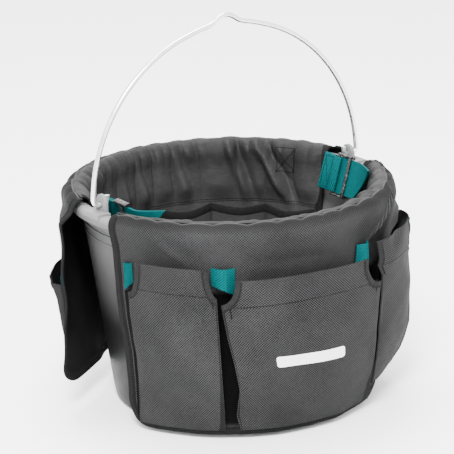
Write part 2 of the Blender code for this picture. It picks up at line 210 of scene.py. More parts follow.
def grid_faces(rows, columns, wrap=False, start=0, flip=False):
    wide = columns if wrap else columns - 1
    r, c = np.meshgrid(np.arange(rows - 1), np.arange(wide), indexing="ij")
    after = (c + 1) % columns
    corners = [r * columns + c, r * columns + after, (r + 1) * columns + after, (r + 1) * columns + c]
    if flip:
        corners = corners[::-1]
    return start + np.stack([corner.ravel() for corner in corners], 1)


def grid_normals(points):
    return unit(np.cross(np.gradient(points, axis=1), np.gradient(points, axis=0)))


def cloth_panel(name, points, flat, thickness, material, body="bucket", shade=0.0):
    """A panel with real thickness from a grid of outer points, with rows upwards and columns anticlockwise.

    shade is 0 for the outer colour and 2 for painted shade, nearly black, in a deep pleat or behind a pocket. The
    inner side always gets 1: a black backing, darkened further as painted shade.
    """
    rows, columns = points.shape[:2]
    inner = points - thickness * grid_normals(points)
    count = rows * columns
    outer_faces = grid_faces(rows, columns)
    inner_faces = grid_faces(rows, columns, start=count, flip=True)
    index = np.arange(count).reshape(rows, columns)
    rim = np.concatenate([index[0, :-1], index[:-1, -1], index[-1, :0:-1], index[:0:-1, 0]])
    after = np.roll(rim, -1)
    rim_faces = np.stack([after, rim, rim + count, after + count], 1)
    faces = np.concatenate([outer_faces, inner_faces, rim_faces])
    place = np.concatenate([flat.reshape(-1, 2), flat.reshape(-1, 2)])
    layer = np.concatenate([np.broadcast_to(shade, (rows, columns)).ravel(), np.ones(count)])
    return add_mesh(
        name, np.vstack([points.reshape(-1, 3), inner.reshape(-1, 3)]), faces,
        np.column_stack([place, layer]), material, body,
    )


def facing_out(points, faces):
    return [face[::-1] for face in faces] if signed_volume(points, faces) < 0 else faces


def sweep(name, path, across, normal, outline, material, body="bucket", smooth_angle=50):
    """A closed solid: an outline of (across, normal) offsets carried along a path."""
    path, across, normal, outline = (np.asarray(a, float) for a in (path, across, normal, outline))
    rings = path[:, None] + outline[:, :1] * across[:, None] + outline[:, 1:] * normal[:, None]
    count, sides = rings.shape[:2]
    faces = grid_faces(count, sides, wrap=True).tolist()
    faces.append(list(range(sides))[::-1])
    faces.append([(count - 1) * sides + side for side in range(sides)])
    place = np.zeros((count, sides, 3))
    place[..., 0] = arc_length(path)[:, None]
    place[..., 1] = outline[:, 0]
    points = rings.reshape(-1, 3)
    return add_mesh(
        name, points, facing_out(points, faces), place.reshape(-1, 3), material, body, smooth_angle
    )


def signed_volume(points, faces):
    total = 0.0
    for face in faces:
        for i in range(1, len(face) - 1):
            total += np.dot(points[face[0]], np.cross(points[face[i]], points[face[i + 1]]))
    return total


def flat_outline(low, high, thickness, rounding=3):
    """A flat band's section from low to high across, with rounded edges."""
    half = thickness / 2
    turns = np.linspace(-math.pi / 2, math.pi / 2, rounding + 2)
    right = [(high - half + half * math.cos(t), half * math.sin(t)) for t in turns]
    left = [(low + half - half * math.cos(t), -half * math.sin(t)) for t in turns]
    return right + left


def ring_outline(radius, sides):
    turns = np.linspace(0, 2 * math.pi, sides, endpoint=False)
    return [(radius * math.cos(t), radius * math.sin(t)) for t in turns]


def edge_frame(surface, u, v, inward_u, inward_v):
    """Place, inward direction and outward normal on a surface at points of one of its edges."""
    step_u, step_v = 0.15, 0.4
    place = surface(u, v)
    across = unit(surface(u + step_v * inward_u, v + step_v * inward_v) - place)
    du = surface(u + step_u, v) - surface(u - step_u, v)
    dv = surface(u, v + step_v) - surface(u, v - step_v)
    return place, across, unit(np.cross(du, dv))


def stitches(name, path, normal, material, length=2.3, pitch=3.1, radius=0.32):
    """A seam of separate raised stitches along a path on a surface."""
    travel = arc_length(path)
    rings = [(-0.5, 0.45), (-0.28, 1.0), (0.28, 1.0), (0.5, 0.45)]
    turns = np.linspace(0, 2 * math.pi, 6, endpoint=False)
    points, faces = [], []

    def read(table, at):
        return np.array([np.interp(at, travel, column) for column in table.T])

    for start in np.arange(pitch / 2, travel[-1] - length, pitch):
        middle = read(path, start + length / 2)
        along = unit(read(path, start + length) - read(path, start))
        up = unit(read(normal, start + length / 2))
        sideways = np.cross(up, along)
        first = len(points)
        for share, size in rings:
            lift = radius * (0.75 if size == 1.0 else 0.25)
            centre = middle + along * share * length + up * lift
            for turn in turns:
                points.append(centre + radius * size * (math.cos(turn) * sideways + math.sin(turn) * up))
        faces += grid_faces(len(rings), len(turns), wrap=True, start=first, flip=True).tolist()
        ends = np.arange(first, first + len(turns))
        faces += [ends.tolist(), (ends + (len(rings) - 1) * len(turns))[::-1].tolist()]
    return add_mesh(name, points, faces, np.zeros((len(points), 3)), material, smooth_angle=None)


# ---------------------------------------------------------------- materials


class Shader:
    """A Principled material and short ways to add the nodes that feed it."""

    def __init__(self, name, roughness, metallic=0.0, specular=0.5):
        self.material = bpy.data.materials.new(name)
        self.material.use_nodes = True
        self.tree = self.material.node_tree
        self.shader = self.tree.nodes["Principled BSDF"]
        self.shader.inputs["Roughness"].default_value = roughness
        self.shader.inputs["Metallic"].default_value = metallic
        self.shader.inputs["Specular IOR Level"].default_value = specular

    def node(self, kind, inputs=None, **settings):
        made = self.tree.nodes.new(kind)
        for word, value in settings.items():
            setattr(made, word, value)
        for word, value in (inputs or {}).items():
            self.feed(made.inputs[word], value)
        return made

    def feed(self, socket, value):
        if isinstance(value, bpy.types.NodeSocket):
            self.tree.links.new(value, socket)
        else:
            socket.default_value = value

    def math(self, operation, *values):
        return self.node("ShaderNodeMath", dict(enumerate(values)), operation=operation).outputs[0]

    def add(self, first, second):
        return self.math("ADD", first, second)

    def times(self, first, second):
        return self.math("MULTIPLY", first, second)

    def place(self):
        """The cloth's own flat coordinates, in millimetres: along, across, and a layer that holds the backing and
        the painted shade.
        """
        read = self.node("ShaderNodeAttribute", attribute_name="cloth")
        return self.node("ShaderNodeSeparateXYZ", {0: read.outputs["Vector"]}).outputs

    def noise(self, scale, detail=3.0, rough=0.55):
        where = self.node("ShaderNodeTexCoord").outputs["Object"]
        inputs = {"Vector": where, "Scale": scale, "Detail": detail, "Roughness": rough}
        return self.node("ShaderNodeTexNoise", inputs).outputs["Fac"]

    def height(self):
        """The height above the floor, in metres, on pieces whose origin is the world's."""
        where = self.node("ShaderNodeTexCoord").outputs["Object"]
        return self.node("ShaderNodeSeparateXYZ", {0: where}).outputs["Z"]

    def wave(self, value, period):
        """A sine of a length in millimetres, from 0 to 1."""
        turned = self.math("MULTIPLY_ADD", value, 2 * math.pi / period, 0.0)
        return self.math("MULTIPLY_ADD", self.math("SINE", turned), 0.5, 0.5)

    def ramp(self, value, low, high, out_low=0.0, out_high=1.0):
        inputs = {0: value, 1: low, 2: high, 3: out_low, 4: out_high}
        return self.node("ShaderNodeMapRange", inputs, clamp=True).outputs[0]

    def mix(self, share, first, second):
        made = self.node("ShaderNodeMix", data_type="RGBA")
        self.feed(made.inputs["Factor"], share)
        self.feed(made.inputs["A"], first)
        self.feed(made.inputs["B"], second)
        return next(out for out in made.outputs if out.type == "RGBA")

    def bump(self, height, distance, strength=1.0, normal=None):
        inputs = {"Height": height, "Distance": distance, "Strength": strength}
        if normal is not None:
            inputs["Normal"] = normal
        return self.node("ShaderNodeBump", inputs).outputs["Normal"]

    def finish(self, colour, normal, roughness=None):
        self.feed(self.shader.inputs["Base Color"], colour)
        self.feed(self.shader.inputs["Normal"], normal)
        if roughness is not None:
            self.feed(self.shader.inputs["Roughness"], roughness)
        return self.material


def grey(level):
    return (level, level, level * 1.01, 1.0)


# The heights in metres between which cloth and bucket change colour: painted shade over the cloth's crest and
# towards the bucket's foot, and a painted highlight on the bucket's rim.
OUTER_CREST_SHADE = (0.2135, 0.2200)
LINING_CREST_SHADE = (0.192, 0.214)
BUCKET_FOOT_SHADE = (0.09, 0.20)
BUCKET_RIM_HIGHLIGHT = (0.207, 0.212)


def outer_cloth():
    """A basket weave: threads over and under each other, with slightly uneven dye, a black backing darkened
    further as painted shade, painted shade in deep pleats and behind pockets, and painted shade over the crest.
    """
    s = Shader("outer_cloth", 0.62, specular=0.02)
    along, across, layer = s.place()
    warp, weft = s.wave(along, 2.6), s.wave(across, 2.6)
    under = s.times(s.math("SUBTRACT", 1.0, warp), s.math("SUBTRACT", 1.0, weft))
    over = s.add(s.times(warp, weft), under)
    slub, blotch = s.noise(420.0, 2.0), s.noise(16.0, 4.0)
    tone = s.add(s.times(over, 0.74), s.times(slub, 0.26))
    tone = s.add(tone, s.times(s.math("SUBTRACT", blotch, 0.5), 0.35))
    colour = s.mix(s.ramp(tone, 0.22, 0.86), grey(0.0), grey(0.038))
    # The inner side: a black backing, darkened further as painted shade.
    colour = s.mix(s.ramp(layer, 0.1, 0.9), colour, s.mix(blotch, grey(0.002), grey(0.013)))
    # Painted shade: nearly black where the layer is 2, in deep pleats and behind the pockets.
    colour = s.mix(s.ramp(layer, 1.1, 1.9), colour, grey(0.0012))
    # Painted shade: the cloth darkens over the crest, as if the light came from the front.
    colour = s.mix(s.ramp(s.height(), *OUTER_CREST_SHADE, 0.0, 0.58), colour, grey(0.003))
    creases = s.bump(s.noise(45.0, 5.0, 0.6), 0.0009, 0.55)
    weave = s.bump(s.add(over, s.times(slub, 0.4)), 0.0003, 0.8, creases)
    return s.finish(colour, weave, s.ramp(blotch, 0.3, 0.7, 0.56, 0.68))


def lining_cloth():
    """A fine coated lining: smooth, a little shiny, crinkled, with painted shade over its crest."""
    s = Shader("liner_cloth", 0.45, specular=0.1)
    along, across, _ = s.place()
    weave = s.times(s.wave(along, 1.1), s.wave(across, 1.1))
    tone = s.add(s.times(weave, 0.35), s.times(s.noise(14.0, 4.0), 0.75))
    colour = s.mix(s.ramp(tone, 0.15, 0.8), grey(0.010), grey(0.030))
    # Painted shade: the lining darkens over the crest.
    colour = s.mix(s.ramp(s.height(), *LINING_CREST_SHADE, 0.0, 0.72), colour, grey(0.003))
    crinkle = s.bump(s.noise(60.0, 6.0, 0.62), 0.0022, 0.7)
    rough = s.ramp(s.noise(35.0, 3.0), 0.3, 0.7, 0.42, 0.58)
    return s.finish(colour, s.bump(weave, 0.00012, 0.6, crinkle), rough)


def tape_cloth(name, dark, light):
    """Ribbed binding tape."""
    s = Shader(name, 0.8, specular=0.05)
    along, across, _ = s.place()
    ribs = s.wave(s.add(along, s.math("PINGPONG", across, 1.6)), 1.5)
    fuzz = s.noise(350.0, 2.0)
    tone = s.add(s.times(ribs, 0.6), s.times(fuzz, 0.5))
    colour = s.mix(s.ramp(tone, 0.2, 0.9), grey(dark), grey(light))
    return s.finish(colour, s.bump(s.add(ribs, fuzz), 0.0003, 0.8))


def seam_edge():
    """The lighter raw fold of the rim's seam."""
    s = Shader("rim_seam", 0.7, specular=0.1)
    along, _, _ = s.place()
    ribs = s.wave(along, 1.4)
    tone = s.add(s.times(ribs, 0.5), s.times(s.noise(300.0, 2.0), 0.5))
    return s.finish(s.mix(tone, grey(0.012), grey(0.052)), s.bump(ribs, 0.0003, 0.7))


def webbing_cloth():
    """Woven webbing with slanted ribs that meet in chevrons."""
    s = Shader("teal_webbing", 0.6, specular=0.02)
    along, across, _ = s.place()
    slant = s.math("PINGPONG", across, 9.0)
    ribs = s.wave(s.math("MULTIPLY_ADD", slant, 0.8, along), 2.6)
    fine = s.wave(across, 1.3)
    tone = s.add(s.times(ribs, 0.55), s.times(fine, 0.15))
    tone = s.add(tone, s.times(s.noise(300.0, 2.0), 0.4))
    colour = s.mix(s.ramp(tone, 0.15, 0.95), (0.0, 0.020, 0.0215, 1.0), (0.0, 0.074, 0.0765, 1.0))
    return s.finish(colour, s.bump(s.add(ribs, s.times(fine, 0.5)), 0.0003, 0.7))


def thread(name, low, high):
    s = Shader(name, 0.7, specular=0.05)
    fuzz = s.noise(900.0, 2.0)
    return s.finish(s.mix(fuzz, low, high), s.bump(fuzz, 0.00008, 0.6))


def bucket_plastic():
    """Grey moulded plastic, painted darker towards its foot as shade and lighter at its rim as a highlight, with
    a fine grain, faint flow lines and scuffs.
    """
    s = Shader("bucket_plastic", 0.42, specular=0.12)
    grain, scuff, height = s.noise(700.0, 2.0), s.noise(22.0, 6.0, 0.7), s.height()
    colour = s.mix(s.ramp(scuff, 0.35, 0.75), grey(0.070), grey(0.092))
    # Painted shade: the plastic is darkened towards the foot, where less light falls.
    colour = s.mix(s.ramp(height, *BUCKET_FOOT_SHADE, 0.03, 1.0), grey(0.004), colour)
    # Painted highlight: the rim, and the ears standing above it, are lightened.
    colour = s.mix(s.ramp(height, *BUCKET_RIM_HIGHLIGHT), colour, grey(0.13))
    return s.finish(colour, s.bump(s.add(grain, scuff), 0.00012, 0.5), s.ramp(scuff, 0.3, 0.7, 0.36, 0.5))


def zinc_wire():
    """Bright zinc plated wire, a little uneven."""
    s = Shader("bail_steel", 0.28, metallic=0.95, specular=0.6)
    cloud = s.noise(90.0, 4.0)
    rough = s.ramp(cloud, 0.3, 0.7, 0.22, 0.40)
    return s.finish(s.mix(cloud, grey(0.6), grey(0.9)), s.bump(s.noise(500.0, 2.0), 0.00006, 0.5), rough)


def slider_steel():
    """Dark plated steel, with random brighter patches painted in as highlights."""
    s = Shader("slider_steel", 0.28, metallic=0.9, specular=0.6)
    painted_glint = s.noise(220.0, 5.0, 0.65)
    # Painted highlights: brighter patches of the steel stand in for glints.
    colour = s.mix(s.ramp(painted_glint, 0.5, 0.75), grey(0.04), grey(0.34))
    return s.finish(colour, s.bump(painted_glint, 0.00006, 0.5), s.ramp(painted_glint, 0.3, 0.7, 0.2, 0.4))


def label_print():
    """A plain white printed patch with the cloth's weave showing through it."""
    s = Shader("label_print", 0.6)
    along, across, _ = s.place()
    weave = s.times(s.wave(along, 2.1), s.wave(across, 2.1))
    tone = s.ramp(s.add(weave, s.times(s.noise(260.0, 3.0), 0.5)), 0.1, 1.0)
    return s.finish(s.mix(tone, grey(0.62), grey(0.85)), s.bump(weave, 0.0001, 0.5))


def floor_paint():
    s = Shader("floor_paint", 0.9, specular=0.1)
    colour = s.mix(s.noise(3.0, 3.0), grey(0.90), grey(0.93))
    return s.finish(colour, s.bump(s.noise(40.0, 3.0), 0.0002, 0.2))


OUTER = outer_cloth()
LINING = lining_cloth()
TAPE = tape_cloth("binding_tape", 0.0015, 0.011)
NOTCH_TAPE = tape_cloth("notch_tape", 0.003, 0.019)
SEAM_EDGE = seam_edge()
TEAL = webbing_cloth()
DARK_THREAD = thread("dark_thread", grey(0.0014), grey(0.0026))
LIGHT_THREAD = thread("seam_thread", grey(0.015), grey(0.028))
TEAL_THREAD = thread("teal_thread", (0.0, 0.012, 0.013, 1.0), (0.0, 0.022, 0.023, 1.0))
PLASTIC = bucket_plastic()
ZINC = zinc_wire()
STEEL = slider_steel()
PRINT = label_print()


# ---------------------------------------------------------------- aprons

FRONT_SECTION = Section([
    (143.8, 5.5), (149.6, 60), (155.2, 115), (160.2, 165), (162.8, 188), (165.6, 201), (167.0, 209),
    (165.2, 216.2), (160.8, 220.6), (156.6, 221.4),
])
BACK_SECTION = Section([
    (138.2, 29.5), (144.0, 66), (152.0, 118), (159.4, 165), (162.6, 188), (165.6, 201), (167.0, 209),
    (165.2, 216.2), (160.8, 220.6), (156.6, 221.4),
])
SECTIONS = {FRONT: FRONT_SECTION, BACK: BACK_SECTION}


def half_angle(side):
    return HALF_ANGLE if side == FRONT else FLAP_ANGLE


def foot_of(bearing, side):
    """Distance up the section at which the cloth starts: the hem with its rounded corners."""
    inside = np.clip((np.abs(bearing) - half_angle(side) + CORNER_ANGLE) / CORNER_ANGLE, 0.0, 1.0)
    return CORNER_HEIGHT * (1.0 - np.sqrt(np.maximum(0.0, 1.0 - inside * inside)))


def front_relief(x, v):
    """Creases of the front collar and apron."""
    top = FRONT_SECTION.length
    out = 1.2 * waves(x, v, 11, 80) + 0.4 * waves(x, v, 12, 30)
    out += 4.2 * fold(x, v, (128, top + 2), (52, top - 50), 2.0)
    out -= 5.0 * fold(x, v, (141, top - 2), (67, top - 56), 8.0)
    out += 7.0 * fold(x, v, (158, top - 66), (164, top - 28), 24.0)
    out -= 1.6 * fold(x, v, (60, top + 2), (44, top - 52), 12.0)
    out += 1.0 * fold(x, v, (-182, top - 12), (-130, top - 50), 4.0)
    out -= 1.1 * fold(x, v, (-176, top - 6), (-122, top - 46), 4.5)
    out += 0.8 * fold(x, v, (-168, top + 2), (-108, top - 42), 5.0)
    out -= 1.4 * fold(x, v, (-110, top - 42), (40, top - 46), 6.0)
    return out


def back_relief(x, v):
    """Creases of the back apron."""
    top = BACK_SECTION.length
    out = 1.2 * waves(x, v, 21, 85) + 0.35 * waves(x, v, 22, 30)
    out += 1.4 * fold(x, v, (-150, top), (-178, top - 50), 6.0)
    out += 1.4 * fold(x, v, (150, top), (178, top - 50), 6.0)
    return out


def apron(side):
    """The outer side of an apron, as a function of bearing and distance up its section."""
    section = SECTIONS[side]

    def surface(u, v):
        radius, height, out_r, out_z = section(v)
        x = np.radians(u) * APRON_FLAT
        relief = (front_relief if side == FRONT else back_relief)(x, v)
        crest = smooth((v - section.length + 26) / 22)
        scallop = 1.9 * np.abs(np.sin(math.pi * (x + 6 * np.sin(x / 31)) / 27)) - 1.1
        pucker = np.abs(np.sin(math.pi * (x + 9 * np.sin(x / 40)) / 23)) ** 0.7 - 0.6
        relief = relief + crest * (2.2 if side == BACK else 0.7) * pucker
        radius = radius + out_r * (relief + crest * 0.9 * waves(x, v * 0.4, 31, 34))
        height = height + out_z * relief * (1 - crest) + crest * 0.6 * waves(x, 0 * x, 33, 45)
        height = height + scallop * smooth((v - section.length + 7) / 6)
        if side == BACK:
            share = np.clip((np.abs(u) - FLAP_START) / (FLAP_ANGLE - FLAP_START), 0, 1.2) ** 2
            share = share * smooth((FLAP_TOP - height) / 14.0)
            wing = FLAP_RADIUS + 4.0 * share * waves(u * 1.3, v, 41, 60)
            radius = radius + (wing - radius) * share
        return spot(u, radius, height, side)

    return surface


def deep_shade(points, u, side):
    """2 where the outer pockets cover an apron, which is painted nearly black there as shade, and 0 in the open.
    """
    if side == FRONT:
        left, right = 72.0, 71.8
        foot = np.interp(u, (21, 23), (14, 34))
    else:
        left, right = 74.0, 77.0
        foot = np.interp(u, (22, 54, 56, 78), (42, 42, 54, 66))
    height = points[..., 2]
    sides = smooth((u + left) / 0.8) * smooth((right - u) / 0.8)
    return 2.0 * smooth((height - foot) / 3.0) * sides * smooth((158.0 - height) / 6.0)


def make_apron(side, word):
    section, surface = SECTIONS[side], apron(side)
    edge = half_angle(side)
    columns = np.linspace(-edge, edge, 210)
    shares = np.concatenate([np.linspace(0, 0.78, 66, endpoint=False), np.linspace(0.78, 1.0, 44)])
    u = np.tile(columns, (len(shares), 1))
    foot = foot_of(u, side)
    v = foot + (section.length - foot) * shares[:, None]
    flat = np.stack([np.radians(u) * APRON_FLAT, v], -1)
    points = surface(u, v)
    shade = deep_shade(points, u, side)
    panel = cloth_panel(f"{word}_apron_cloth", points, flat, APRON_CLOTH, OUTER, shade=shade)
    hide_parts(f"{word}_apron")


def apron_edge_path(side):
    """Bearing, distance up and inward direction round an apron's free edges, from corner to corner."""
    edge = half_angle(side)
    section = SECTIONS[side]
    up = np.linspace(section.length - 4, CORNER_HEIGHT, 60)
    path = [(edge, v, -1.0, 0.0) for v in up]
    straight = edge - CORNER_ANGLE
    for turn in np.linspace(0, math.pi / 2, 16)[1:]:
        bearing = straight + CORNER_ANGLE * math.cos(turn)
        path.append((bearing, CORNER_HEIGHT * (1 - math.sin(turn)), -math.cos(turn), math.sin(turn)))
    path += [(straight * (1 - s), 0.0, 0.0, 1.0) for s in np.linspace(0, 1, 70)[1:]]
    path += [(-b, v, -du, dv) for b, v, du, dv in reversed(path[:-1])]
    return np.array(path)


def make_edge_binding(side, word):
    surface = apron(side)
    u, v, du, dv = apron_edge_path(side).T
    place, across, normal = edge_frame(surface, u, v, du * math.degrees(1 / APRON_FLAT), dv)
    place = place - APRON_CLOTH / 2 * normal
    outline = flat_outline(-1.2, 8.6, 2.9)
    band = sweep(f"{word}_edge_binding_tape", place, across, normal, outline, TAPE)
    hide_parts(f"{word}_edge_binding")
    seam = place + 6.6 * across + 1.45 * normal
    made = stitches(f"{word}_edge_binding_stitches", seam, normal, DARK_THREAD)


def make_piping(side, word):
    u = np.linspace(-HALF_ANGLE + 0.6, HALF_ANGLE - 0.6, 420)
    path = apron(side)(u, np.full_like(u, SECTIONS[side].length))
    path[:, 2] -= 0.5
    up = np.tile([0.0, 0.0, 1.0], (len(path), 1))
    across = unit(np.cross(unit(np.gradient(path, axis=0)), up))
    bead = sweep(f"{word}_rim_piping_cord", path, across, up, ring_outline(1.05, 10), SEAM_EDGE)
    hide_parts(f"{word}_rim_piping")


# ---------------------------------------------------------------- liners and inner pockets

LINER_SECTION = Section([
    (120.9, 43.0), (129.8, 96), (138.0, 155), (143.6, 196), (144.8, 207), (146.4, 215),
    (150.2, 220.2), (155.8, 221.3),
])
HEM_V = float(LINER_SECTION.height_to_v(156.0))

# Creases that run down the liner: flat coordinate at the crest, at the hem, and depth.
LINER_CREASES = (
    (78, 108, 6.5), (104, 160, 8.0), (14, 40, 4.5), (-34, -14, 4.0), (-60, -44, 3.6), (-96, -84, 4.0),
    (-124, -108, 3.6),
)


def liner_relief(x, v):
    """How far the gathered lining stands in from the bucket, at its own flat coordinates."""
    top = LINER_SECTION.length
    rise = np.clip((v - HEM_V) / (top - HEM_V), 0, 1)
    body = smooth(rise / 0.3) * (0.4 + 0.6 * smooth((1 - rise) / 0.3))
    warp = x + 7 * np.sin(x / 47.0 + 0.7) + 4 * np.sin(x / 19.0) + 5 * (rise - 0.5) * np.sin(x / 60.0)
    gather = np.abs(np.sin(math.pi * warp / 31.0)) ** 0.7
    fine = np.abs(np.sin(math.pi * (warp + 5) / 12.5)) ** 0.8
    out = body * (4.4 * gather + 1.9 * fine * smooth((rise - 0.45) / 0.4))
    out += 1.6 * body * (1 + waves(x, v * 0.7, 51, 42))
    for start, end, size in LINER_CREASES:
        ridge = fold(x, v, (start, top + 10), (end, HEM_V - 6), 5.5)
        valley = fold(x, v, (start + 10, top + 10), (end + 11, HEM_V - 6), 5.5)
        out += size * ridge - 0.6 * size * valley
    return np.maximum(out, -1.0)


def liner(side):
    """The side of a liner that lies against the bucket, as a function of bearing and distance up."""

    def surface(u, v):
        radius, height, out_r, out_z = LINER_SECTION(v)
        x = np.radians(u) * LINER_FLAT
        stand = liner_relief(-x if side == BACK else x + 31.0, v)
        ends = smooth((HALF_ANGLE - np.abs(u)) / (24.0 if side == FRONT else 7.0))
        crest = smooth((LINER_SECTION.length - v) / 5.0)
        stand = stand * ends * crest
        return spot(u, radius - out_r * stand, height - 0.35 * out_z * stand, side)

    return surface


def make_liner(side, word):
    surface = liner(side)
    columns = np.linspace(-HALF_ANGLE, HALF_ANGLE, 300)
    top = LINER_SECTION.length
    rows = np.concatenate([np.linspace(0, HEM_V, 26, endpoint=False), np.linspace(HEM_V, top, 60)])
    u, v = np.meshgrid(columns, rows)
    flat = np.stack([np.radians(u) * LINER_FLAT, v], -1)
    panel = cloth_panel(f"{word}_liner_cloth", surface(u, v), flat, LINING_CLOTH, LINING)
    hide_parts(f"{word}_liner")
    for index, height in enumerate((157.5, 160.0)):
        seam_v = float(LINER_SECTION.height_to_v(height))
        line = np.linspace(-HALF_ANGLE + 3, HALF_ANGLE - 3, 500)
        place, _, normal = edge_frame(surface, line, np.full_like(line, seam_v), 0 * line, 0 * line + 1)
        place = place - LINING_CLOTH * normal
        made = stitches(f"{word}_liner_hem_stitches_{index + 1}", place, -normal, DARK_THREAD)
    for end in (-1, 1):
        hand = "left" if end == side else "right"
        v_line = np.linspace(6, top - 3, 90)
        u_line = np.full_like(v_line, end * HALF_ANGLE)
        place, across, normal = edge_frame(surface, u_line, v_line, 0 * u_line - end * 0.4, 0 * v_line)
        place = place - LINING_CLOTH / 2 * normal
        outline = flat_outline(-0.8, 9.0, 2.2)
        band = sweep(f"{word}_liner_{hand}_binding", place, across, normal, outline, TAPE)


def make_liner_box():
    """A box of stitches with a cross in it, through the back lining near its right end."""
    surface = liner(BACK)
    near, far = -63.0, -54.5
    low, high = (float(LINER_SECTION.height_to_v(height)) for height in (191.0, 215.5))
    corners = [(far, high), (near, high), (near, low), (far, low)]
    corners += [(far, high), (near, low), (near, high), (far, low)]
    line = resample(np.array([(math.radians(u) * LINER_FLAT, v) for u, v in corners]), 0.5)
    u, v = np.degrees(line[:, 0] / LINER_FLAT), line[:, 1]
    place, _, normal = edge_frame(surface, u, v, 0 * u, 0 * u + 1)
    place = place - LINING_CLOTH * normal
    made = stitches("back_liner_box_stitches", place, -normal, DARK_THREAD, 2.0, 2.8, 0.4)


def inner_pockets(side):
    """The inner pockets, bowed between their stitched lines. v is 0 at the foot and 100 at the mouth."""

    def surface(u, v):
        share = v / 100.0
        bow = np.abs(np.sin(math.pi * (u + INNER_EDGE) / INNER_STEP))
        mouth = INNER_MOUTH - 3.6 * bow**1.3 + 0.8 * np.sin(u / 7.0)
        height = INNER_FOOT + (mouth - INNER_FOOT) * share
        radius, _, _, _ = LINER_SECTION(LINER_SECTION.height_to_v(height))
        out = 9.0 * bow**0.7 * np.sin(math.pi / 2 * np.minimum(1.0, share / 0.7))
        out = out + 0.8 * waves(np.radians(u) * INNER_FLAT, height, 61, 28) * bow
        return spot(u, radius - 2.4 - out, height, side)

    return surface


def make_inner_pockets(side, word):
    surface = inner_pockets(side)
    columns = np.linspace(-INNER_EDGE, INNER_EDGE, 241)
    rows = np.linspace(0, 100, 42)
    u, v = np.meshgrid(columns, rows)
    flat = np.stack([np.radians(u) * INNER_FLAT, v], -1)
    panel = cloth_panel(f"{word}_inner_pocket_cloth", surface(u, v), flat, LINING_CLOTH, LINING)
    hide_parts(f"{word}_inner_pockets")
    line = np.linspace(-INNER_EDGE, INNER_EDGE, 361)
    place, across, normal = edge_frame(surface, line, np.full_like(line, 100.0), 0 * line, 0 * line - 1)
    place = place - LINING_CLOTH / 2 * normal
    outline = flat_outline(-1.0, 7.5, 2.4)
    band = sweep(f"{word}_inner_pocket_mouth_binding", place, across, normal, outline, TAPE)
    for index in range(1, 6):
        v_line = np.linspace(3, 97, 40)
        u_line = np.full_like(v_line, -INNER_EDGE + INNER_STEP * index)
        place, _, normal = edge_frame(surface, u_line + 1e-3, v_line, 0 * v_line + 1, 0 * v_line)
        out = -spot(u_line, 1.0, 0 * u_line, side)
        place = place + LINING_CLOTH * out
        made = stitches(f"{word}_inner_pocket_stitches_{index}", place, out, LIGHT_THREAD)


for SIDE, WORD in ((FRONT, "front"), (BACK, "back")):
    make_apron(SIDE, WORD)
    make_edge_binding(SIDE, WORD)
    make_piping(SIDE, WORD)
    make_liner(SIDE, WORD)
    make_inner_pockets(SIDE, WORD)
make_liner_box()


# ---------------------------------------------------------------- outer pockets


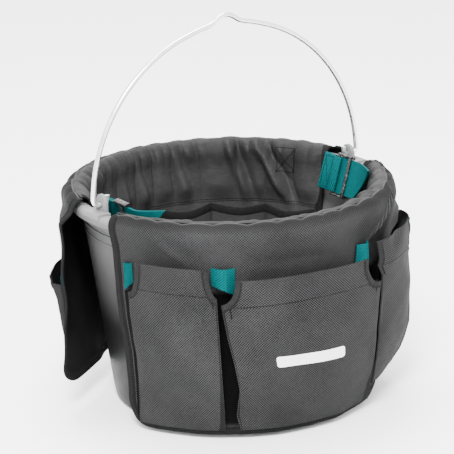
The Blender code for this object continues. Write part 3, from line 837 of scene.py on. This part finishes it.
class Pocket:
    """A pocket standing off an apron, with side pleats, a hemmed mouth and a bound notch at each side.

    left and right list (height, bearing, stand-off) down each side fold of the face. seams are the bearings
    where the pleats are sewn down. mouth and foot are heights at the left and right. notches are (width, depth).
    pleats are the pleats' depths, black the share of each pleat that gets painted shade, nearly black, and tuck
    how far each is pushed under the face.
    """

    def __init__(
        self, name, side, seams, left, right, foot, mouth, notches, swell, seed,
        pleats=(22, 22), black=(0.97, 0.97), tuck=(3.2, 3.2),
    ):
        self.name, self.side, self.seams, self.foot, self.mouth = name, side, seams, foot, mouth
        self.notches, self.swell, self.seed, self.tuck = notches, swell, seed, tuck
        self.apron, self.pleats, self.black = apron(side), pleats, black
        self.left, self.right = np.array(left), np.array(right)

    def fold_line(self, table, height):
        return np.interp(height, table[:, 0], table[:, 1]), np.interp(height, table[:, 0], table[:, 2])

    def rise(self, height):
        return np.clip((height - min(self.foot)) / (max(self.mouth) - min(self.foot)), 0.0, 1.05)

    def relief(self, q, height):
        x = q * self.width()
        out = 1.3 * waves(x, height, self.seed, 75) + 0.45 * waves(x, height, self.seed + 1, 26)
        hem = smooth((height - (self.mouth_at(q) - 27.5)) / 1.2)
        return out * smooth(self.rise(height) / 0.12) + 0.5 * hem

    def width(self):
        left, right = (self.fold_line(table, 100.0)[0] for table in (self.left, self.right))
        return math.radians(right - left) * POCKET_FLAT

    def mouth_at(self, q):
        low, high = self.mouth
        return low + (high - low) * q + 1.6 * np.sin(math.pi * q)

    def foot_at(self, q):
        return self.foot[0] + (self.foot[1] - self.foot[0]) * q

    def top_at(self, q):
        """The mouth with its two notches, at a share q across the face."""
        top = self.mouth_at(q)
        for share, (wide, deep) in zip((q, 1.0 - q), self.notches):
            inside = np.clip(share * self.width() / wide, 0.0, 1.0)
            top = top - deep * np.sqrt(1.0 - inside * inside)
        return top

    def off_apron(self, bearing, stand, height):
        """Points at a distance from the apron's surface."""
        point = self.apron(bearing, SECTIONS[self.side].height_to_v(height))
        radius = np.hypot(point[..., 0], point[..., 1])
        return spot(bearing, radius + 0.8 + stand, height, self.side)

    def face(self, q, height):
        b0, d0 = self.fold_line(self.left, height)
        b1, d1 = self.fold_line(self.right, height)
        bearing = b0 + (b1 - b0) * q
        rounded = np.sin(math.pi * np.clip(q, 0, 1)) ** 0.75
        belly = self.swell * rounded * np.sin(math.pi / 2 * self.rise(height)) ** 0.8
        stand = d0 + (d1 - d0) * q + belly + self.relief(q, height) * smooth(np.minimum(q, 1 - q) / 0.08)
        return self.off_apron(bearing, np.maximum(stand, 0.9), height)

    def gusset(self, hand, p, height):
        """A side pleat: p runs from its seam on the apron (0), tucked under the face, to the face's fold (1)."""
        pick = 0 if hand < 0 else 1
        seam, tuck = self.seams[pick], self.tuck[pick]
        bearing, stand = self.fold_line((self.left, self.right)[pick], height)
        inward = -hand
        hidden = inward * (np.maximum(inward * bearing, inward * seam) + tuck * smooth(stand / 8.0))
        at_seam, between, at_fold = (1 - p) ** 2, 2 * p * (1 - p), p**2
        b = at_seam * seam + between * hidden + at_fold * bearing
        out = at_seam + between * np.maximum(0.35 * stand, 1.0) + at_fold * np.maximum(stand, 0.9)
        return self.off_apron(b, out, height)

    def columns(self):
        wide = self.width()
        turns = np.linspace(0, math.pi / 2, 14)
        left = self.notches[0][0] / wide * np.sin(turns)
        right = 1 - self.notches[1][0] / wide * np.sin(turns[::-1])
        count = max(12, int(wide * (1 - left[-1] - (1 - right[0])) / 2.4))
        return np.concatenate([left, np.linspace(left[-1], right[0], count)[1:-1], right])

    def grid(self):
        q = self.columns()
        low_rows, high_rows, pleat = 46, 22, 9
        knee = min(self.top_at(0.0), self.top_at(1.0)) - 6.0

        def heights(foot, top):
            lower = foot + (knee - foot) * np.linspace(0, 1, low_rows, endpoint=False)[:, None]
            upper = knee + (top - knee) * np.linspace(0, 1, high_rows)[:, None]
            return np.concatenate([lower, upper])

        h = heights(self.foot_at(q)[None, :], self.top_at(q)[None, :])
        face = self.face(np.tile(q, (len(h), 1)), h)
        blocks, flats, shades = [], [], []
        x = np.tile(q * self.width(), (len(h), 1))
        for pick, hand in enumerate((-1, 1)):
            edge = float(pick)
            p = np.linspace(0, 1, pleat + 1)[:-1]
            top = self.top_at(edge) - 2.0 * (1 - p)
            hp = heights(np.full_like(p, self.foot_at(edge))[None, :], top[None, :])
            block = self.gusset(hand, np.tile(p, (len(hp), 1)), hp)
            flat_x = np.tile(edge * self.width() + hand * self.pleats[pick] * (1 - p), (len(hp), 1))
            order = slice(None) if hand < 0 else slice(None, None, -1)
            blocks.append(block[:, order])
            # Painted shade: the pleat is coloured nearly black over the share given by black.
            shade = 2.0 * smooth((self.black[pick] - p) / 0.12)
            shades.append(np.tile(shade[order], (len(hp), 1)))
            flats.append(np.stack([flat_x, hp], -1)[:, order])
        points = np.concatenate([blocks[0], face, blocks[1]], 1)
        flat = np.concatenate([flats[0], np.stack([x, h], -1), flats[1]], 1)
        return points, flat, np.concatenate([shades[0], np.zeros(h.shape), shades[1]], 1)

    def normal(self, q, height):
        dq = self.face(q + 0.01, height) - self.face(q - 0.01, height)
        dz = self.face(q, height + 0.8) - self.face(q, height - 0.8)
        return unit(np.cross(dq, dz))

    def strip(self, q, height, inward_q, inward_z):
        """Place, inward direction and normal along a line on the face."""
        place, normal = self.face(q, height), self.normal(q, height)
        across = self.face(q + inward_q, height + inward_z) - place
        across -= normal * (across * normal).sum(-1, keepdims=True)
        return place, unit(across), normal

    def notch_line(self, hand):
        """Share, height and inward steps round one notch."""
        wide, deep = self.notches[0 if hand < 0 else 1]
        turn = np.linspace(0.02, math.pi / 2 - 0.02, 34)
        share = wide / self.width() * np.sin(turn)
        q = share if hand < 0 else 1 - share
        height = self.mouth_at(q) - deep * np.cos(turn)
        step_q = -hand * np.sin(turn) / wide
        step_z = -np.cos(turn) / deep
        size = np.hypot(step_q, step_z) / 0.6
        return q, height, step_q / size / self.width(), step_z / size

    def build(self):
        points, flat, shade = self.grid()
        panel = cloth_panel(f"{self.name}_cloth", points, flat, POCKET_CLOTH, OUTER, shade=shade)
        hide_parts(self.name)
        wide = (self.width() + sum(self.pleats)) * MM
        for hand, word in ((-1, "left"), (1, "right")):
            q, height, step_q, step_z = self.notch_line(hand)
            place, across, normal = self.strip(q, height, step_q, step_z)
            name = f"{self.name}_{word}_notch"
            outline = flat_outline(-0.9, 6.2, 2.3)
            tape = sweep(f"{name}_binding", place - 0.5 * normal, across, normal, outline, NOTCH_TAPE)
            line = place + 4.8 * across + 0.65 * normal
            seam = stitches(f"{name}_stitches", line, normal, DARK_THREAD)
        q = np.linspace(0.035, 0.965, 260)
        height = self.mouth_at(q) - 27.0
        seam = stitches(f"{self.name}_hem_stitches", self.face(q, height), self.normal(q, height), DARK_THREAD)
        for share, word in ((0.045, "left"), (0.955, "right")):
            height = self.mouth_at(share) - 33.0 + 6.0 * np.linspace(-1, 1, 20)
            q = np.full_like(height, share)
            line, normal = self.face(q, height), self.normal(q, height)
            seam = stitches(f"{self.name}_{word}_bartack", line, normal, DARK_THREAD, 1.0, 1.3, 0.5)


FRONT_LEFT = dict(
    seams=(-73.0, -39.2), foot=(9.5, 10.0), mouth=(183.0, 181.0), notches=((13.0, 33.0), (8.0, 29.0)), swell=3.0,
    left=[(4, -72.0, 1.2), (45, -70.8, 4.0), (91, -69.6, 7.0), (147, -69.3, 9.0), (184, -69.0, 10.0)],
    right=[(9, -37.0, 1.6), (30, -37.0, 5.0), (80, -37.6, 10.0), (120, -38.0, 11.5), (152, -38.3, 11.5),
           (184, -38.4, 11.0)],
    black=(0.32, 0.97),
    pleats=(14, 20),
)
CENTRE_LEFT_FOLD = [
    (28, -32.8, 6.0), (56, -31.6, 11.0), (84, -33.2, 13.0), (111, -35.2, 14.0), (146, -37.0, 14.0),
    (176, -37.2, 15.0),
]
CENTRE_RIGHT_FOLD = [(43, 24.6, 12.0), (74, 21.6, 17.5), (110, 20.8, 19.0), (142, 21.5, 18.0), (176, 21.5, 18.0)]
FRONT_CENTRE = dict(
    seams=(-31.5, 20.5), foot=(10.5, 10.5), mouth=(171.0, 174.5), notches=((14.0, 25.0), (26.0, 31.0)), swell=2.5,
    left=[(9, -31.2, 2.5), *CENTRE_LEFT_FOLD], right=[(10, 29.0, 4.0), *CENTRE_RIGHT_FOLD],
)
BACK_CENTRE = dict(
    FRONT_CENTRE, foot=(35.0, 35.0), left=[(34, -34.7, 1.8), *CENTRE_LEFT_FOLD[1:]],
    right=[(34, 27.0, 4.0), *CENTRE_RIGHT_FOLD[1:]],
)
FRONT_RIGHT = dict(
    seams=(26.0, 52.6), foot=(24.0, 26.0), mouth=(186.0, 183.0), notches=((4.0, 26.0), (11.0, 31.0)), swell=3.0,
    left=[(26, 31.5, 4.0), (70, 28.6, 9.0), (116, 26.0, 13.0), (147, 23.8, 14.5), (160, 20.2, 15.0),
          (186, 17.0, 15.0)],
    right=[(26, 52.6, 12.0), (42, 52.8, 21.0), (70, 53.2, 27.5), (120, 53.2, 23.5), (150, 53.0, 18.5),
           (170, 52.6, 15.0), (186, 52.2, 11.0)],
    pleats=(22, 14),
)
FRONT_END = dict(
    seams=(55.4, 72.8), foot=(26.0, 28.0), mouth=(175.0, 175.0), notches=((5.0, 16.0), (9.0, 26.0)), swell=2.0,
    left=[(26, 55.2, 9.0), (42, 55.2, 16.0), (70, 55.0, 22.0), (120, 54.8, 17.0), (150, 54.8, 12.0),
          (186, 54.8, 9.5)],
    right=[(26, 71.5, 1.5), (80, 70.5, 5.0), (150, 69.6, 7.0), (186, 69.4, 7.5)],
    black=(0.97, 0.32),
    pleats=(14, 12),
)
BACK_LEFT = dict(
    seams=(24.0, 52.6), foot=(40.0, 42.0), mouth=(181.0, 178.0), notches=((12.0, 30.0), (11.0, 28.0)), swell=3.0,
    left=[(40, 27.5, 4.0), (100, 25.0, 11.0), (150, 23.5, 13.0), (186, 23.0, 14.0)],
    right=[(40, 52.8, 2.0), (80, 53.2, 4.0), (150, 53.2, 5.5), (186, 53.0, 5.5)],
    pleats=(20, 14),
)
BACK_END = dict(
    seams=(55.6, 78.6), foot=(50.0, 62.0), mouth=(147.0, 143.0), notches=((8.0, 10.0), (5.0, 5.0)), swell=2.0,
    left=[(50, 55.4, 1.5), (90, 55.0, 3.0), (170, 55.0, 4.0)],
    right=[(58, 76.5, 1.0), (80, 77.0, 3.5), (120, 77.4, 9.0), (145, 77.4, 13.5)],
    black=(0.97, 0.0), tuck=(3.2, -1.5),
    pleats=(14, 10),
)
BACK_RIGHT = dict(
    seams=(-78.0, -39.2), foot=(36.0, 34.0), mouth=(180.0, 181.0), notches=((12.0, 30.0), (9.0, 29.0)), swell=3.0,
    left=[(36, -75.5, 1.2), (80, -75.0, 4.0), (130, -74.5, 7.0), (184, -74.5, 8.5)],
    right=[(34, -37.2, 1.6), (80, -37.6, 9.0), (120, -38.0, 11.0), (184, -38.4, 11.0)],
    black=(0.32, 0.97),
    pleats=(14, 20),
)


def make_tab(name, side, bearing, legs, heights, depth):
    """A folded band of webbing between two pockets.

    legs are the bearings each side of its fold. heights are its foot's at the left, the fold and the right, and
    its top's.
    """
    count = 13
    share = np.linspace(-1, 1, 2 * count + 1)
    rows = np.linspace(0, 1, 14)
    fold_shape = np.sqrt(np.abs(share) ** 2 + 0.004)
    b = np.where(share < 0, bearing + share * (bearing - legs[0]), bearing + share * (legs[1] - bearing))
    left, middle, right, top = heights
    foot = middle + np.abs(share) * np.where(share < 0, left - middle, right - middle)
    z = foot + (top - foot) * rows[:, None]
    b = np.tile(b, (len(rows), 1))
    v = SECTIONS[side].height_to_v(z)
    point = apron(side)(b, v)
    radius = np.hypot(point[..., 0], point[..., 1])
    groove = 1.6 * np.exp(-((share / 0.09) ** 2))
    stand = 2.0 + depth * (1.0 - fold_shape)[None, :] * (1.0 - 0.25 * rows[:, None]) - groove[None, :]
    points = spot(b, radius + stand, z, side)
    arc = np.tile(share * 15.0, (len(rows), 1))
    flat = np.stack([z, arc], -1)
    tab = cloth_panel(f"{name}_webbing", points, flat, TAB_CLOTH, TEAL)
    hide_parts(name)


def make_label(pocket):
    """A plain white printed bar on the centre pocket."""
    wide, tall, corner = 74.0, 11.5, 2.5
    columns = np.linspace(-1, 1, 60)
    rows = np.linspace(-1, 1, 14)
    s, t = np.meshgrid(columns, rows)
    inside = np.clip((np.abs(t) * tall / 2 - tall / 2 + corner) / corner, 0, 1)
    reach = wide / 2 - corner * (1 - np.sqrt(np.clip(1 - inside**2, 0, 1)))
    x, y = s * reach, t * tall / 2
    q = 0.48 + x / pocket.width()
    height = 85.0 + y
    points = pocket.face(q, height) + 0.22 * pocket.normal(q, height)
    patch = cloth_panel("label_patch", points, np.stack([x, y], -1), 0.3, PRINT)


POCKETS = {
    name: Pocket(name, side, seed=100 + 10 * index, **shape)
    for index, (name, side, shape) in enumerate((
        ("front_pocket_left", FRONT, FRONT_LEFT),
        ("front_pocket_centre", FRONT, FRONT_CENTRE),
        ("front_pocket_right", FRONT, FRONT_RIGHT),
        ("front_pocket_end", FRONT, FRONT_END),
        ("back_pocket_end", BACK, BACK_END),
        ("back_pocket_left", BACK, BACK_LEFT),
        ("back_pocket_centre", BACK, BACK_CENTRE),
        ("back_pocket_right", BACK, BACK_RIGHT),
    ))
}
for POCKET in POCKETS.values():
    POCKET.build()
make_label(POCKETS["front_pocket_centre"])
make_tab("front_tab_inner_left", FRONT, -35.9, (-40.4, -32.4), (163.0, 160.0, 153.0, 180.5), 9.0)
make_tab("front_tab_inner_right", FRONT, 17.6, (13.8, 20.0), (164.0, 161.0, 156.0, 184.0), 9.0)
make_tab("front_tab_outer_left", FRONT, -71.0, (-72.8, -69.2), (158.0, 152.0, 158.0, 177.5), 7.0)
make_tab("front_tab_outer_right", FRONT, 72.4, (70.4, 74.4), (158.0, 152.0, 158.0, 178.0), 7.0)
make_tab("back_tab_inner_left", BACK, 18.0, (14.0, 20.8), (162.0, 159.0, 154.0, 182.0), 9.0)
make_tab("back_tab_inner_right", BACK, -35.9, (-40.4, -32.4), (163.0, 160.0, 153.0, 180.5), 9.0)
make_tab("back_tab_outer_left", BACK, 75.4, (74.2, 76.6), (126.0, 122.0, 126.0, 141.0), 3.0)
make_tab("back_tab_outer_right", BACK, -79.0, (-80.4, -77.4), (158.0, 152.0, 158.0, 178.0), 5.0)


# ---------------------------------------------------------------- side straps and sliders


class Strap:
    """The frame of a side strap: y along it, w across it and n through it, towards the bucket's wall."""

    def __init__(self, sign):
        self.sign = sign
        top, foot = np.array(STRAP_TOP), np.array(STRAP_FOOT)
        self.middle = (top + foot) / 2
        self.half = np.linalg.norm(top - foot) / 2
        up = (top - foot) / (2 * self.half)
        self.up = np.array([sign * up[0], 0.0, up[1]])
        self.out = np.array([sign * up[1], 0.0, -up[0]])

    def at(self, y, w, n):
        y, w, n = np.broadcast_arrays(*(np.asarray(a, float) for a in (y, w, n)))
        base = np.array([self.sign * self.middle[0], 0.0, self.middle[1]])
        along = np.array([0.0, 1.0, 0.0])
        return base + y[..., None] * along + w[..., None] * self.up + n[..., None] * self.out


def make_strap(word, sign):
    """A band that runs through its slider, then bends in to the front lining, where it is cut at a slant."""
    strap = Strap(sign)
    back_y, turn_y, front_y, slant, lap_y = 17.0, -38.5, -71.0, 31.0, -1.0
    share, rise = np.meshgrid(np.linspace(0, 1, 80), np.linspace(-1, 1, 26))
    y = back_y + (front_y + slant * (1 - rise) / 2 - back_y) * share
    turned = np.clip((turn_y - y) / (turn_y - front_y), 0, 1) ** 1.2
    top = np.array(STRAP_TOP) + (np.array(STRAP_END_TOP) - STRAP_TOP) * turned[..., None]
    foot = np.array(STRAP_FOOT) + (np.array(STRAP_END_FOOT) - STRAP_FOOT) * turned[..., None]
    place = (top + foot) / 2 + rise[..., None] * (top - foot) / 2 * 0.985
    place[..., 1] += (3.5 if sign < 0 else 0.0) * turned
    points = np.stack([sign * place[..., 0], y, place[..., 1]], -1)
    across = np.gradient(points, axis=0)
    out = np.cross(np.gradient(points, axis=1), across)
    out *= sign * np.sign(out[..., :1]) / np.linalg.norm(out, axis=-1, keepdims=True)
    points = points + out * WEBBING / 2
    flat = np.stack([y, rise * strap.half], -1)
    order = slice(None) if sign < 0 else slice(None, None, -1)
    main = cloth_panel(f"strap_{word}_webbing", points[:, order], flat[:, order], WEBBING, TEAL)
    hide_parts(f"strap_{word}")
    outline = flat_outline(-strap.half + 0.2, strap.half - 0.2, WEBBING)
    y = np.linspace(back_y, lap_y, 20)
    place = strap.at(y, 0.0, -(0.4 + WEBBING))
    across, normal = np.tile(strap.up, (20, 1)), np.tile(strap.out, (20, 1))
    lap = sweep(f"strap_lap_{word}_webbing", place, across, normal, outline, TEAL)
    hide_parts(f"strap_lap_{word}")
    y = SLIDER_Y + np.linspace(13.0, 3.2, 20)
    raised = 1.9 * smooth(1 - np.abs(y - SLIDER_Y - 9.0) / 6.0)
    place = strap.at(y, 0.0, -(0.5 + WEBBING) - 1.35 - raised)
    outline = flat_outline(-strap.half + 0.9, strap.half - 0.9, WEBBING * 0.8)
    loop = sweep(f"strap_loop_{word}", place, across, normal, outline, TEAL, body=f"slider_{word}")
    face = -(0.4 + 1.5 * WEBBING)
    reach = strap.half - 3.0
    ends = (back_y - 3, lap_y + 3)
    corners = [(ends[0], reach), (ends[1], reach), (ends[1], -reach), (ends[0], -reach), (ends[0], reach)]
    corners += [(ends[1], -reach)]
    line = resample(np.array([strap.at(y, w, face) for y, w in corners]), 0.5)
    seam = stitches(f"strap_{word}_box_stitches", line, np.tile(-strap.out, (len(line), 1)), TEAL_THREAD)


def make_slider(word, sign):
    """A three-bar slider: the band runs behind its two outer bars and in front of its middle bar."""
    strap = Strap(sign)
    half = strap.half + 0.4 + 1.5
    bar = 0.85
    clear = WEBBING / 2 + 0.4
    long = 11.0
    inner, outer = -(clear + bar), clear + bar

    def rounded(size_y, size_n):
        """A bar's section: a square with well rounded corners."""
        turn = np.linspace(0, 2 * math.pi, 20, endpoint=False)
        y, n = (np.abs(wave) ** 0.5 * np.sign(wave) for wave in (np.cos(turn), np.sin(turn)))
        return np.stack([size_y * y, size_n * n], 1)

    pieces = []
    for y, n in ((-long + 2.0, inner), (long - 2.0, inner), (0.0, outer)):
        w = np.linspace(-half, half, 14)
        place = strap.at(SLIDER_Y + y, w, n)
        across = np.tile([0.0, 1.0, 0.0], (len(w), 1))
        normal = np.tile(strap.out, (len(w), 1))
        wide = 3.0 if n > 0 else 2.0
        pieces.append(sweep("bar", place, across, normal, rounded(wide, bar), STEEL, body=f"slider_{word}"))
    for end in (-1, 1):
        y = np.linspace(-long, long, 18)
        round_off = np.sqrt(np.clip(1 - np.clip((np.abs(y) - long + 2.4) / 2.4, 0, 1) ** 2, 0.02, 1))
        place = strap.at(SLIDER_Y + y, end * half, 0.0)
        across = np.tile(strap.up, (len(y), 1))
        normal = np.tile(strap.out, (len(y), 1))
        shape = rounded(1.35, clear + 2 * bar)
        post = sweep("post", place, across, normal, shape, STEEL, body=f"slider_{word}")
        pieces.append(post)
    joined = join(f"slider_{word}_metal", pieces)
    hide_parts(f"slider_{word}")


def join(name, pieces):
    with bpy.context.temp_override(active_object=pieces[0], selected_editable_objects=pieces):
        bpy.ops.object.join()
    pieces[0].name = name
    return pieces[0]


for WORD, SIGN in (("left", -1), ("right", 1)):
    make_strap(WORD, SIGN)
    make_slider(WORD, SIGN)


# ---------------------------------------------------------------- bucket and bail


def lathe(name, profile, segments, material):
    profile = np.array(profile, float)
    turn = np.linspace(0, 2 * math.pi, segments, endpoint=False)
    rings = np.stack([
        profile[:, None, 0] * np.cos(turn), profile[:, None, 0] * np.sin(turn),
        np.tile(profile[:, None, 1], (1, segments)),
    ], -1)
    points = rings[1:-1].reshape(-1, 3)
    points = np.vstack([points, [[0, 0, profile[0, 1]], [0, 0, profile[-1, 1]]]])
    count = len(profile) - 2
    faces = [list(map(int, face)) for face in grid_faces(count, segments, wrap=True)]
    first, last = count * segments, count * segments + 1
    for k in range(segments):
        after = (k + 1) % segments
        faces.append([first, after, k])
        top = (count - 1) * segments
        faces.append([last, top + k, top + after])
    return add_mesh(name, points, faces, np.zeros((len(points), 3)), material, smooth_angle=40)


def wall_radius(height):
    return 122.5 + (149.0 - 122.5) * (height - 12.0) / (204.0 - 12.0)


def bucket_profile():
    """The bucket's section in millimetres, from the underside's middle round the rim and back inside."""
    outer = [(0, 0.6), (106, 0.6), (108, 0), (115, 0), (118.6, 1.0), (121.0, 4.0), (122.5, 12)]
    outer += [(wall_radius(z), z) for z in (40, 80, 120, 160)]
    for rib in (181.0, 190.5):
        r = wall_radius(rib)
        outer += [(r - 0.2, rib - 1.2), (r + 1.3, rib - 0.7), (r + 1.5, rib), (r + 1.3, rib + 0.7)]
        outer.append((r + 0.3, rib + 1.2))
    r = wall_radius(194.0)
    outer += [(r + 0.2, 195.5), (r + 3.3, 196.4), (152.3, 198.0), (152.5, 207.6), (153.4, 208.4), (158.2, 208.0)]
    outer += [(158.9, 207.2), (159.1, 204.6), (159.7, 204.0), (160.4, 204.1), (160.9, 204.8), (161, 206)]
    outer += [(160.9, 210.6), (160.2, 212.6), (158.6, 213.7), (156.6, 214.0), (152, 213.9)]
    inner = [(148.6, 213.4), (147.2, 212.2), (146.5, 210.0)]
    inner += [(wall_radius(z) - 2.5, z) for z in (190, 160, 120, 80, 40, 20)]
    inner += [(118.6, 9.0), (115.5, 4.6), (110.5, 2.6), (0, 2.5)]
    return outer + inner


def make_ear(word, sign):
    """An upright ear with a rounded top and a hole for the wire, standing on a thick block across the rim."""
    centre, reach, hole = 223.0, 9.0, 3.2
    turns = np.linspace(0, 2 * math.pi, 48, endpoint=False)
    outer = []
    for t in turns:
        y, z = math.cos(t), math.sin(t)
        if z < 0:
            scale = min(1.0 / max(abs(y), 1e-6), 1.55 / max(abs(z), 1e-6))
            outer.append((reach * y * scale, centre + reach * z * scale))
        else:
            outer.append((reach * y, centre + reach * z))
    outer = np.array(outer)
    inner = np.stack([hole * np.cos(turns), PIVOT_Z + hole * np.sin(turns)], 1)
    rings = []
    middle = np.array([0.0, centre])
    for x, loop, shrink in (
        (146.1, inner, 0.0), (146.1, outer, 0.6), (146.7, outer, 0.0), (149.3, outer, 0.0), (149.9, outer, 0.6),
        (149.9, inner, 0.0),
    ):
        if shrink:
            loop = loop + (middle - loop) * (shrink / np.linalg.norm(loop - middle, axis=1))[:, None]
        rings.append(np.stack([np.full(len(loop), sign * x), loop[:, 0], loop[:, 1]], 1))
    points = np.array(rings).reshape(-1, 3)
    sides, count = len(turns), len(rings)
    faces = [list(map(int, face)) for face in grid_faces(count, sides, wrap=True)]
    last = (count - 1) * sides
    for k in range(sides):
        after = (k + 1) % sides
        faces.append([last + k, last + after, after, k])
    if signed_volume(points, faces) < 0:
        faces = [face[::-1] for face in faces]
    ear = add_mesh(f"ear_{word}", points, faces, np.zeros((len(points), 3)), PLASTIC, smooth_angle=35)
    y = np.linspace(-13.6, 13.6, 16)
    block_outline = [(-7.4, -1.5), (7.4, -1.5), (7.4, 3.6), (6.8, 4.2), (-6.8, 4.2), (-7.4, 3.6)]
    place = np.stack([np.full_like(y, sign * 154.2), y, np.full_like(y, 211.8)], 1)
    across = np.tile([1.0, 0.0, 0.0], (len(y), 1))
    up = np.tile([0.0, 0.0, 1.0], (len(y), 1))
    block = sweep(f"ear_block_{word}", place, across, up, block_outline, PLASTIC, smooth_angle=30)


def make_bucket():
    """The lathed shell and its two ears."""
    shell = lathe("bucket_plastic_shell", bucket_profile(), 160, PLASTIC)
    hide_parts("bucket_shell")
    for word, sign in (("left", -1), ("right", 1)):
        make_ear(word, sign)


def make_bail():
    """The bent wire: a hook through each ear, an arc, and a kink at the top."""
    hook_x = 142.4
    points = [(hook_x, PIVOT_Z + 8.0), (hook_x, PIVOT_Z + 5.4), (hook_x + 0.3, PIVOT_Z + 2.2)]
    points += [(hook_x + 1.5, PIVOT_Z + 0.6), (hook_x + 4.0, PIVOT_Z), (hook_x + 8.0, PIVOT_Z)]
    points += [(BAIL_RADIUS - 4.5, PIVOT_Z), (BAIL_RADIUS - 1.6, PIVOT_Z + 1.2), (BAIL_RADIUS, PIVOT_Z + 5.0)]
    for turn in np.radians(np.linspace(5, 72, 20)):
        points.append((BAIL_RADIUS * math.cos(turn), PIVOT_Z + BAIL_RADIUS * math.sin(turn)))
    points += [(33.0, 376.5), (17.0, 380.5), (9.5, 385.0), (3.5, 387.7), (0.0, 388.0)]
    points += [(-x, z) for x, z in reversed(points[:-1])]
    line = catmull(points, 520)
    path = np.stack([line[:, 0], 0 * line[:, 0], line[:, 1]], 1)
    side = np.tile([0.0, 1.0, 0.0], (len(path), 1))
    normal = np.cross(unit(np.gradient(path, axis=0)), side)
    wire = sweep("bail_wire_metal", path, side, normal, ring_outline(WIRE_RADIUS, 20), ZINC, body="bail")
    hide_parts("bail_wire")


make_bucket()
make_bail()


# ---------------------------------------------------------------- studio


def make_floor():
    mesh = bpy.data.meshes.new("floor")
    size = 6.0
    corners = [(-size, -size, 0), (size, -size, 0), (size, size, 0), (-size, size, 0)]
    mesh.from_pydata(corners, [], [(0, 1, 2, 3)])
    mesh.materials.append(floor_paint())
    floor = bpy.data.objects.new("floor", mesh)
    floor.location.z = -0.0003
    bpy.context.scene.collection.objects.link(floor)


def area_light(name, place, aim, size, power):
    light = bpy.data.lights.new(name, "AREA")
    light.shape = "DISK"
    light.size = size
    light.energy = power
    obj = bpy.data.objects.new(name, light)
    obj.location = place
    obj.rotation_euler = (Vector(aim) - Vector(place)).to_track_quat("-Z", "Y").to_euler()
    bpy.context.scene.collection.objects.link(obj)


def make_camera():
    place, aim = Vector((-1.29549, -1.95149, 0.89405)), Vector((-0.00275, 0.00182, 0.17071))
    roll = math.radians(-1.316)
    back = (place - aim).normalized()
    right = Vector((0, 0, 1)).cross(back).normalized()
    up = back.cross(right)
    across = right * math.cos(roll) + up * math.sin(roll)
    above = back.cross(across)
    data = bpy.data.cameras.new("camera")
    data.lens = 193.51
    data.sensor_width = 36.0
    camera = bpy.data.objects.new("camera", data)
    camera.location = place
    camera.rotation_euler = Matrix((across, above, back)).transposed().to_euler()
    bpy.context.scene.collection.objects.link(camera)
    bpy.context.scene.camera = camera


def make_world():
    world = bpy.data.worlds.new("studio")
    world.use_nodes = True
    world.node_tree.nodes["Background"].inputs["Color"].default_value = (1.0, 1.0, 1.0, 1.0)
    world.node_tree.nodes["Background"].inputs["Strength"].default_value = 3.3
    bpy.context.scene.world = world


make_floor()
make_camera()
make_world()
area_light("key", (-1.3, -1.5, 2.2), (0, 0, 0.15), 0.8, 250)
area_light("fill", (1.8, -1.4, 1.4), (0, 0, 0.15), 1.5, 6)
area_light("top", (0.2, 0.6, 2.4), (0, 0, 0.15), 1.4, 130)
